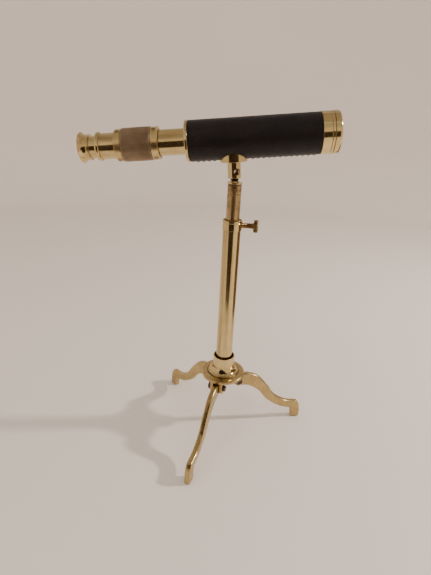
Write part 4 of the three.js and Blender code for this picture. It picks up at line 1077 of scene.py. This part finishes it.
def leather_cover():
    """Leather sleeve, drawn together by a sewn seam along its underside."""
    whole = size("leather_cover", SCOPE)
    steps = 220
    length = whole.end - whole.start
    outside = [(whole.radius, whole.start + length * i / steps, 0) for i in range(steps + 1)]
    profile = [(whole.bore, whole.start, 0), *outside, (whole.bore, whole.end, 0)]

    def hide(angle, radius, height):
        if radius < whole.bore + 0.1:
            return radius
        from_end = min(height - whole.start, whole.end - height)
        turned_in = 0.16 * max(0, 1 - from_end / 0.7) ** 2
        off = (math.pi - angle) * radius
        lace = 0.5 - 0.5 * math.cos(2 * math.pi * height / SEAM_PITCH)
        welt = seam_ridge(off) * (0.35 + 0.65 * lace)
        valley = 0.22 * math.exp(-((off / 0.28) ** 2))
        creases = 0.025 * math.sin(3.1 * angle + 0.23 * height) * math.sin(0.71 * height + 2 * angle)
        fade = min(1, from_end / 2)
        return radius - turned_in + fade * (welt - valley + creases)

    cover = turned("leather_cover_fine", profile, SCOPE, 320, 0, hide)
    clear = size("saddle", STEM).radius + CRADLE_GAP
    combine(cover, [drill(clear, STEM, 0, (axis_foot - BALL).length / MM, LARGE)])
    hand_in(cover, "telescope", "black_leather", LEATHER, "leather_cover")


STITCH_HALF = 2.2
STITCH_THICKNESS = 0.4
STITCH_SLANT = 0.45
STITCH_SIDES = 10
STITCH_RINGS = 9


def stitch_points(cover, z):
    """One stitch's points: a thread over the seam whose ends dip into the leather."""
    points = []
    for i in range(STITCH_RINGS):
        share = i / (STITCH_RINGS - 1)
        across = STITCH_HALF * (2 * share - 1)
        fat = STITCH_THICKNESS * math.sin(math.pi * (0.08 + 0.84 * share)) ** 0.5
        lift = cover.radius + seam_ridge(across) + 0.04
        lift -= 0.42 * (2 * share - 1) ** 6
        angle = math.pi + across / cover.radius
        for k in range(STITCH_SIDES):
            turn = 2 * math.pi * k / STITCH_SIDES
            reach = lift + fat * math.cos(turn)
            along = z + across * STITCH_SLANT + fat * math.sin(turn)
            points.append((reach * math.cos(angle), reach * math.sin(angle), along))
    return points


def stitch_faces(first):
    """One stitch's faces, its first point having a number."""
    starts = [first + i * STITCH_SIDES for i in range(STITCH_RINGS)]
    rings = [list(range(start, start + STITCH_SIDES)) for start in starts]
    faces = [face for a, b in zip(rings, rings[1:]) for face in ring_faces(a, b)]
    return [*faces, tuple(rings[0]), tuple(reversed(rings[-1]))]


def seam_stitches():
    """Waxed stitches that cross the seam, left out where the saddle stands."""
    cover = size("leather_cover", SCOPE)
    clear = size("saddle", STEM).radius + STITCH_HALF
    margin = 1.5
    vertices = []
    faces = []
    first = math.ceil(cover.start / SEAM_PITCH)
    count = int((cover.end - cover.start) / SEAM_PITCH) + 2
    for number in range(first, first + count):
        z = (number + 0.5) * SEAM_PITCH
        if cover.start + margin <= z <= cover.end - margin and abs(z) >= clear:
            faces += stitch_faces(len(vertices))
            vertices += stitch_points(cover, z)
    stitches = new_object("leather_seam_stitches", vertices, faces, SCOPE)
    face_out(stitches)
    hand_in(stitches, "telescope", "black_leather", THREAD)


def rear_flange():
    """Flange that closes the barrel round the draw tube, its rim rolled over."""
    whole = size("rear_flange", SCOPE)
    face = size("main_barrel", SCOPE).start - SEAT_GAP
    spigot = size("main_barrel", SCOPE).bore - SEAT_GAP
    draw = size("draw_tube", SCOPE).radius
    deep = whole.start + 0.3
    profile = [
        (draw + SLIDE_GAP, whole.start, 0.3),
        (whole.radius - 3.6, whole.start, 0.2), (whole.radius - 3.2, deep, 0.15),
        (whole.radius - 2.6, deep, 0.15), (whole.radius - 2.2, whole.start, 0.2),
        (whole.radius, whole.start, 1.0), (whole.radius, face, 0.6),
        (spigot, face, 0), (spigot, whole.end, 0.2), (draw + SLIDE_GAP, whole.end, 0.2),
    ]
    flange = turned("rear_flange_fine", profile, SCOPE, LARGE)
    hand_in(flange, "telescope", "polished_brass", TURNED, "rear_flange")


def objective_end():
    """Cell, lens and retaining ring at the front of the barrel."""
    whole = size("objective_cell", SCOPE)
    bore = radii_at("objective_cell", SCOPE, whole.end)[0]
    face = size("main_barrel", SCOPE).end + SEAT_GAP * 2
    spigot = size("main_barrel", SCOPE).bore - SEAT_GAP
    seat = face + 1.2
    bead = whole.end - 2.3
    cell = turned("objective_cell_fine", [
        (whole.bore, whole.start), (spigot, whole.start), (spigot, face, 0),
        (whole.radius, face, 0.45), (whole.radius - 0.1, bead - 0.35, 0.12),
        (whole.radius - 0.45, bead, 0.1), (whole.radius, bead + 0.4, 0.3),
        (whole.radius, whole.end - 0.25, 0.5), (whole.radius - 0.5, whole.end, 0.15),
        (bore, whole.end, 0.3), (bore, seat, 0), (whole.bore, seat, 0.2),
    ], SCOPE, LARGE)
    hand_in(cell, "telescope", "polished_brass", TURNED, "objective_cell")
    lens("objective_lens", SCOPE, "telescope")
    ring = size("lens_retainer", SCOPE)
    retainer = turned("lens_retainer_fine", [
        (ring.bore + 0.3, ring.start, 0.1), (ring.radius, ring.start, 0.1),
        (ring.radius, ring.end, 0.15), (ring.bore + 0.8, ring.end, 0.2),
        (ring.bore, ring.end - 0.7, 0.15), (ring.bore, ring.start + 0.3, 0.1),
    ], SCOPE, LARGE)
    combine(retainer, [slot_cutter(1.1, 0.7, ring.end, 2 * ring.radius + 2, SCOPE)])
    hand_in(retainer, "telescope", "aged_brass", AGED, "lens_retainer")


def lens(node, spot, body):
    """Lens with two round faces, taken from its CAD solid's edge and crowns."""
    whole = size(node, spot)
    points = local_points(node, spot)
    rim = points[radii_of(points) > whole.radius - 0.05]
    back, front = rim[:, 2].min(), rim[:, 2].max()
    steps = 16

    def face(edge, crown):
        shares = [i / steps for i in range(steps + 1)]
        return [(whole.radius * t, edge + (crown - edge) * (1 - t**2), 0) for t in shares]

    faces = [*face(back, whole.start), *face(front, whole.end)[::-1]]
    glass = turned(f"{node}_fine", faces, spot, MEDIUM)
    hand_in(glass, body, "optical_glass", GLASS, node)


def dust_cap():
    """Push-in cap with a soft edge and a shallow turned ring on its face."""
    whole = size("dust_cap", SCOPE)
    face = size("objective_cell", SCOPE).end + SEAT_GAP
    spigot = radii_at("dust_cap", SCOPE, whole.start)[1]
    hollow = radii_at("dust_cap", SCOPE, whole.start)[0]
    deep = whole.start + 3.4
    ring = whole.radius * 0.52
    ring_floor = whole.end - 0.3
    corner = 3.0
    cap = turned("dust_cap_fine", [
        (0, deep), (hollow, deep, 0.4), (hollow, whole.start, 0.15), (spigot, whole.start, 0.25),
        (spigot, face, 0), (whole.radius - 0.5, face, 0.1), (whole.radius, face + 0.3, 0.4),
        (whole.radius, whole.end, corner), (ring + 0.5, whole.end, 0.2),
        (ring + 0.25, ring_floor, 0.1), (ring - 0.25, ring_floor, 0.1),
        (ring - 0.5, whole.end, 0.2), (0, whole.end),
    ], SCOPE, LARGE)
    hand_in(cap, "cap", "polished_brass", TURNED, "dust_cap")


# ---------------------------------------------------------------------------
# Draw tube, focusing barrel and eyepiece
# ---------------------------------------------------------------------------


def screw_place(node):
    """A frame along a collar screw, out from the telescope's axis."""
    centre = middle(node)
    foot = axis_foot + FORWARD * (centre - axis_foot).dot(FORWARD)
    return place(foot, centre - foot, FORWARD)


def collar_and_screws(side):
    """Collar round the focus housing, with three round-headed screws let into it."""
    node = f"{side}_side_collar"
    whole = size(node, SCOPE)
    heads = []
    for i in (1, 2, 3):
        screw_node = f"{side}_side_screw_{i}"
        spot = screw_place(screw_node)
        screw = size(screw_node, spot)
        shank = radii_at(screw_node, spot, screw.start)[1]
        seat = screw.end - 1.3
        heads.append((screw_node, spot, screw, shank, seat))
    collar = turned(f"{node}_fine", [
        (whole.bore, whole.start, 0.1), (whole.radius, whole.start, 0.5),
        (whole.radius, whole.end, 0.5), (whole.bore, whole.end, 0.1),
    ], SCOPE, LARGE)
    pockets = []
    for _, spot, screw, shank, seat in heads:
        narrow = shank + SEAT_GAP
        wide = screw.radius + SEAT_GAP
        step = seat - SEAT_GAP
        pockets.append(turned("cutter", [
            (0, whole.bore - 1), (narrow, whole.bore - 1), (narrow, step), (wide, step),
            (wide, screw.end + 2), (0, screw.end + 2),
        ], spot, SMALL, 0))
    combine(collar, pockets)
    hand_in(collar, "draw", "polished_brass", SATIN, node)
    for number, (screw_node, spot, screw, shank, seat) in enumerate(heads):
        head = turned(f"{screw_node}_fine", [
            (0, screw.start), (shank, screw.start, 0.2), (shank, seat, 0), (screw.radius, seat, 0.1),
            (screw.radius, screw.end - 0.45, 0.3), (screw.radius * 0.55, screw.end - 0.05, 0.5),
            (0, screw.end),
        ], spot, SMALL)
        combine(head, [slot_cutter(0.5, 0.5, screw.end, 6, spot, 0.7 + 1.3 * number)])
        hand_in(head, "draw", "polished_brass", RUBBED, screw_node)


def focus_ring():
    """Ring that is turned to focus: diamond knurling between two plain edges."""
    whole = size("focus_ring", SCOPE)
    starts = 66
    lead = math.tan(math.radians(30)) * starts / whole.radius
    depth = 0.30
    border = 1.0
    start, end = whole.start + border, whole.end - border
    rows = 200
    skin = [(whole.radius, start + (end - start) * i / rows, 0) for i in range(rows + 1)]
    edge = whole.radius - 0.15
    profile = [
        (whole.bore, whole.start, 0.1), (edge, whole.start, 0.3), (edge, start - 0.35, 0),
        *skin, (edge, end + 0.35, 0), (edge, whole.end, 0.3), (whole.bore, whole.end, 0.1),
    ]

    def diamonds(angle, radius, height):
        inside = min(height - start, end - height)
        if inside < 0 or radius < whole.radius - 0.05:
            return radius
        one = abs(math.sin((starts * angle + lead * (height - start)) / 2))
        two = abs(math.sin((starts * angle - lead * (height - start)) / 2))
        cut = 1 - min(1, 2.2 * min(one, two))
        return radius - 0.02 - depth * cut * min(1, inside / 0.3)

    ring = turned("focus_ring_fine", profile, SCOPE, 528, 0, diamonds)
    hand_in(ring, "focus", "knurled_brass", KNURLED, "focus_ring")


def eye_ring():
    """Half-round ring on the end of the eyepiece tube."""
    whole = size("eye_ring", SCOPE)
    half = (whole.end - whole.start) / 2
    centre = (whole.end + whole.start) / 2
    foot = whole.bore + 0.15
    angles = [math.pi * (i / 20 - 0.5) for i in range(21)]
    rise = whole.radius - foot
    bulge = [(foot + rise * math.cos(a), centre + half * math.sin(a), 0) for a in angles]
    profile = [(whole.bore, whole.start, 0), *bulge, (whole.bore, whole.end, 0)]
    ring = turned("eye_ring_fine", profile, SCOPE, LARGE)
    hand_in(ring, "eyepiece", "polished_brass", TURNED, "eye_ring")


def eyecup():
    """Flared eyecup with a dished face, a rear rim and a waist between them."""
    whole = size("eyecup", SCOPE)
    tube_size = size("eyepiece_tube", SCOPE)
    neck = tube_size.bore - 0.5
    cup_front = tube_size.start - 6.1
    rear_rim = tube_size.radius + 0.15
    waist = tube_size.radius - 0.35
    lip = whole.radius
    floor = whole.start + 3.6
    hole = whole.bore
    lens_bore = radii_at("eyecup", SCOPE, whole.end)[0]
    bead = cup_front - 1.6
    throat = bead - 0.8
    back = whole.start + 1.4
    shares = [i / 14 for i in range(15)]
    flare = [(waist + (lip - waist) * t**2.1, throat + (back - throat) * t, 0) for t in shares]
    inner = lip - 1.3
    dish = []
    for i in range(13):
        share = i / 12
        sunk = (floor - whole.start) * math.sin(share * math.pi / 2) ** 0.9
        dish.append((inner + (hole - inner) * share, whole.start + sunk, 0))
    profile = [
        (lens_bore, whole.end, 0.1), (neck, whole.end, 0.2), (neck, cup_front + 0.1, 0.3),
        (rear_rim - 0.2, cup_front, 0.3), (rear_rim, cup_front - 0.3, 0.2),
        (rear_rim, bead + 0.2, 0.3), (waist, bead - 0.15, 0.15), *flare,
        (lip, whole.start + 0.5, 0.5), (lip - 0.5, whole.start, 0.4), *dish,
        (hole, floor + 1.2, 0.1), (lens_bore, floor + 1.2, 0.1),
    ]
    cup = turned("eyecup_fine", profile, SCOPE, LARGE, 0.1)
    hand_in(cup, "eyepiece", "polished_brass", TURNED, "eyecup")


def hidden_nodes():
    """Pieces shut inside the stand and the telescope keep their CAD shape."""
    looks = {
        AGED: ("column_plug", "pole_guide", "draw_guide", "draw_stop_ring", "erector_cell", "field_stop"),
        STEEL: ("saddle_screw_1", "saddle_screw_2", "cam_pin"),
        GLASS: ("erector_lens_1", "erector_lens_2"),
    }
    for look, nodes in looks.items():
        for node in nodes:
            materials = frame["nodes"][node].data.materials
            materials.clear()
            materials.append(look)


# ---------------------------------------------------------------------------
# Stage, lights and camera
# ---------------------------------------------------------------------------


def studio_paint():
    """Warm pale paint, with painted shade that darkens it high up the wall."""
    g = Graph("studio_paint")
    cloud = g.between(g.noise(2.2, 4, 0.55), 0.3, 0.7)
    colour = g.mix(cloud, (0.80, 0.718, 0.645), (0.815, 0.733, 0.66))
    height = g.node("ShaderNodeSeparateXYZ", {"Vector": g.where}).outputs["Z"]
    # Painted shade: darker from 0.8 m to 1.3 m up the wall
    colour = g.mix(g.between(height, 0.8, 1.3), colour, (0.58, 0.55, 0.525))
    g.set(Base_Color=colour, Roughness=0.6)
    return g.material


def studio():
    """Pale table top that sweeps up into a round wall."""
    radius, bend, height = 1500, 260, 2400
    profile = [(radius * i / 8, 0) for i in range(7)]
    profile += [point[:2] for point in arc(radius - bend, bend, bend, -math.pi / 2, 0, 12)]
    profile += [(radius, bend + (height - bend) * i / 8) for i in range(1, 9)]
    sweep = lathe("studio_sweep", [Vector(p) for p in profile], 96, COLUMN, closed=False)
    face_up(sweep)
    sweep.data.shade_smooth()
    sweep.data.materials.append(studio_paint())


def face_up(obj):
    """Turns an open mesh's faces so that most of them look up."""
    work = bmesh.new()
    work.from_mesh(obj.data)
    for face in work.faces:
        face.normal_update()
    if sum(face.normal.z * face.calc_area() for face in work.faces) < 0:
        bmesh.ops.reverse_faces(work, faces=work.faces)
    work.to_mesh(obj.data)
    work.free()


def reflected_card(name, corners, colour):
    """A dark card that only reflections see."""
    mesh = bpy.data.meshes.new(name)
    mesh.from_pydata(corners, [], [tuple(range(len(corners)))])
    card = linked(name, mesh)
    g = Graph(f"{name}_cloth")
    weave = g.between(g.noise(9, 4, 0.6), 0.3, 0.7)
    g.set(Base_Color=g.mix(weave, colour, tuple(c * 1.6 for c in colour)), Roughness=0.9)
    mesh.materials.append(g.material)
    for kind in ("camera", "diffuse", "transmission", "volume_scatter", "shadow"):
        setattr(card, f"visible_{kind}", False)


def cards():
    """Cards in front, to the right and overhead, in metres, for the brass to reflect."""
    x, y = column_middle.x, column_middle.y
    front = y - 0.315
    reflected_card("front_card", [
        (x - 0.18, front, 0.002), (x + 0.13, front, 0.002), (x + 0.14, front, 0.19),
        (x + 0.28, front, 0.20), (x + 0.28, front, 0.36), (x - 0.27, front, 0.36),
        (x - 0.27, front, 0.12),
    ], (0.022, 0.014, 0.012))
    reflected_card("side_card", [
        (x + 0.29, y - 0.05, 0.004), (x + 0.20, y + 0.24, 0.004),
        (x + 0.20, y + 0.24, 0.20), (x + 0.29, y - 0.05, 0.20),
    ], (0.16, 0.10, 0.06))
    half, top = 1.3, 2.3
    reflected_card("ceiling_card", [
        (x - half, y - half, top), (x + half, y - half, top),
        (x + half, y + half, top), (x - half, y + half, top),
    ], (0.48, 0.46, 0.44))


def area_light(name, position, target, size_m, power, colour):
    data = bpy.data.lights.new(name, "AREA")
    data.shape = "DISK"
    data.size = size_m
    data.energy = power
    data.color = colour
    lamp = linked(name, data)
    lamp.location = position
    lamp.rotation_mode = "QUATERNION"
    lamp.rotation_quaternion = (Vector(target) - Vector(position)).to_track_quat("-Z", "Y")
    return lamp


def lights():
    """A small key light from the right, a broad fill that brass cannot see, and a pale sky."""
    centre = Vector((column_middle.x, column_middle.y, 0.16))
    key_from = centre + Vector((1.10, 0.14, 0.70))
    area_light("key", key_from, centre, 0.09, 13.0, (1.0, 0.95, 0.88))
    fill_from = centre + Vector((-0.5, -0.9, 1.3))
    fill = area_light("fill", fill_from, centre, 1.0, 4.0, (1.0, 0.98, 0.95))
    fill.visible_glossy = False
    world = bpy.data.worlds.new("room")
    world.use_nodes = True
    sky = world.node_tree.nodes["Background"]
    sky.inputs["Color"].default_value = (0.93, 0.90, 0.86, 1)
    sky.inputs["Strength"].default_value = 1.3
    bpy.context.scene.world = world


# The camera, from the column's foot, in millimetres and degrees
CAMERA_OFFSET = (0.0, -369.65, 322.22)
CAMERA_PAN = -1.976
CAMERA_PITCH = 22.713
CAMERA_ROLL = 2.881
CAMERA_LENS = 25.04


def camera():
    pan, pitch, roll = (math.radians(a) for a in (CAMERA_PAN, CAMERA_PITCH, CAMERA_ROLL))
    ahead = Vector((
        math.sin(pan) * math.cos(pitch), math.cos(pan) * math.cos(pitch), -math.sin(pitch),
    ))
    right = Vector((math.cos(pan), -math.sin(pan), 0))
    up = right.cross(ahead)
    rolled_right = right * math.cos(roll) + up * math.sin(roll)
    rolled_up = up * math.cos(roll) - right * math.sin(roll)
    data = bpy.data.cameras.new("camera")
    data.lens = CAMERA_LENS
    data.sensor_width = 36
    data.sensor_fit = "AUTO"
    data.clip_start = 0.01
    data.clip_end = 20
    data.dof.use_dof = False
    eye = linked("camera", data)
    turn = Matrix((rolled_right, rolled_up, -ahead)).transposed().to_4x4()
    eye.matrix_world = Matrix.Translation(COLUMN.translation + Vector(CAMERA_OFFSET) * MM) @ turn
    bpy.context.scene.camera = eye


# ---------------------------------------------------------------------------
# Assembly
# ---------------------------------------------------------------------------

camera()
studio()
cards()
lights()

base()
base_fixings()
for leg_number in (1, 2, 3):
    leg(leg_number)
    hinge_screw(leg_number)
    hinge_nut(leg_number)
column_socket()
column_set_screw()
column_tubes()
thumb_screw()
inner_pole()
swivel_cap()
ball_liner()
ball_stud()
coupling_sleeve()
saddle()
plain_tube("main_barrel", SCOPE, "telescope", "polished_brass", DRAWN, 0.15)
leather_cover()
seam_stitches()
rear_flange()
objective_end()
dust_cap()
plain_tube("draw_tube", SCOPE, "draw", "polished_brass", DRAWN, 0.12)
plain_tube("focus_housing", SCOPE, "draw", "aged_brass", AGED, 0.15)
collar_and_screws("draw")
collar_and_screws("eye")
focus_ring()
plain_tube("eyepiece_tube", SCOPE, "eyepiece", "polished_brass", DRAWN, 0.15)
eye_ring()
eyecup()
lens("eye_lens", SCOPE, "eyepiece")
lens("field_lens", SCOPE, "eyepiece")
hidden_nodes()


def corners(box):
    return [[round(float(value), 6) for value in corner] for corner in box]
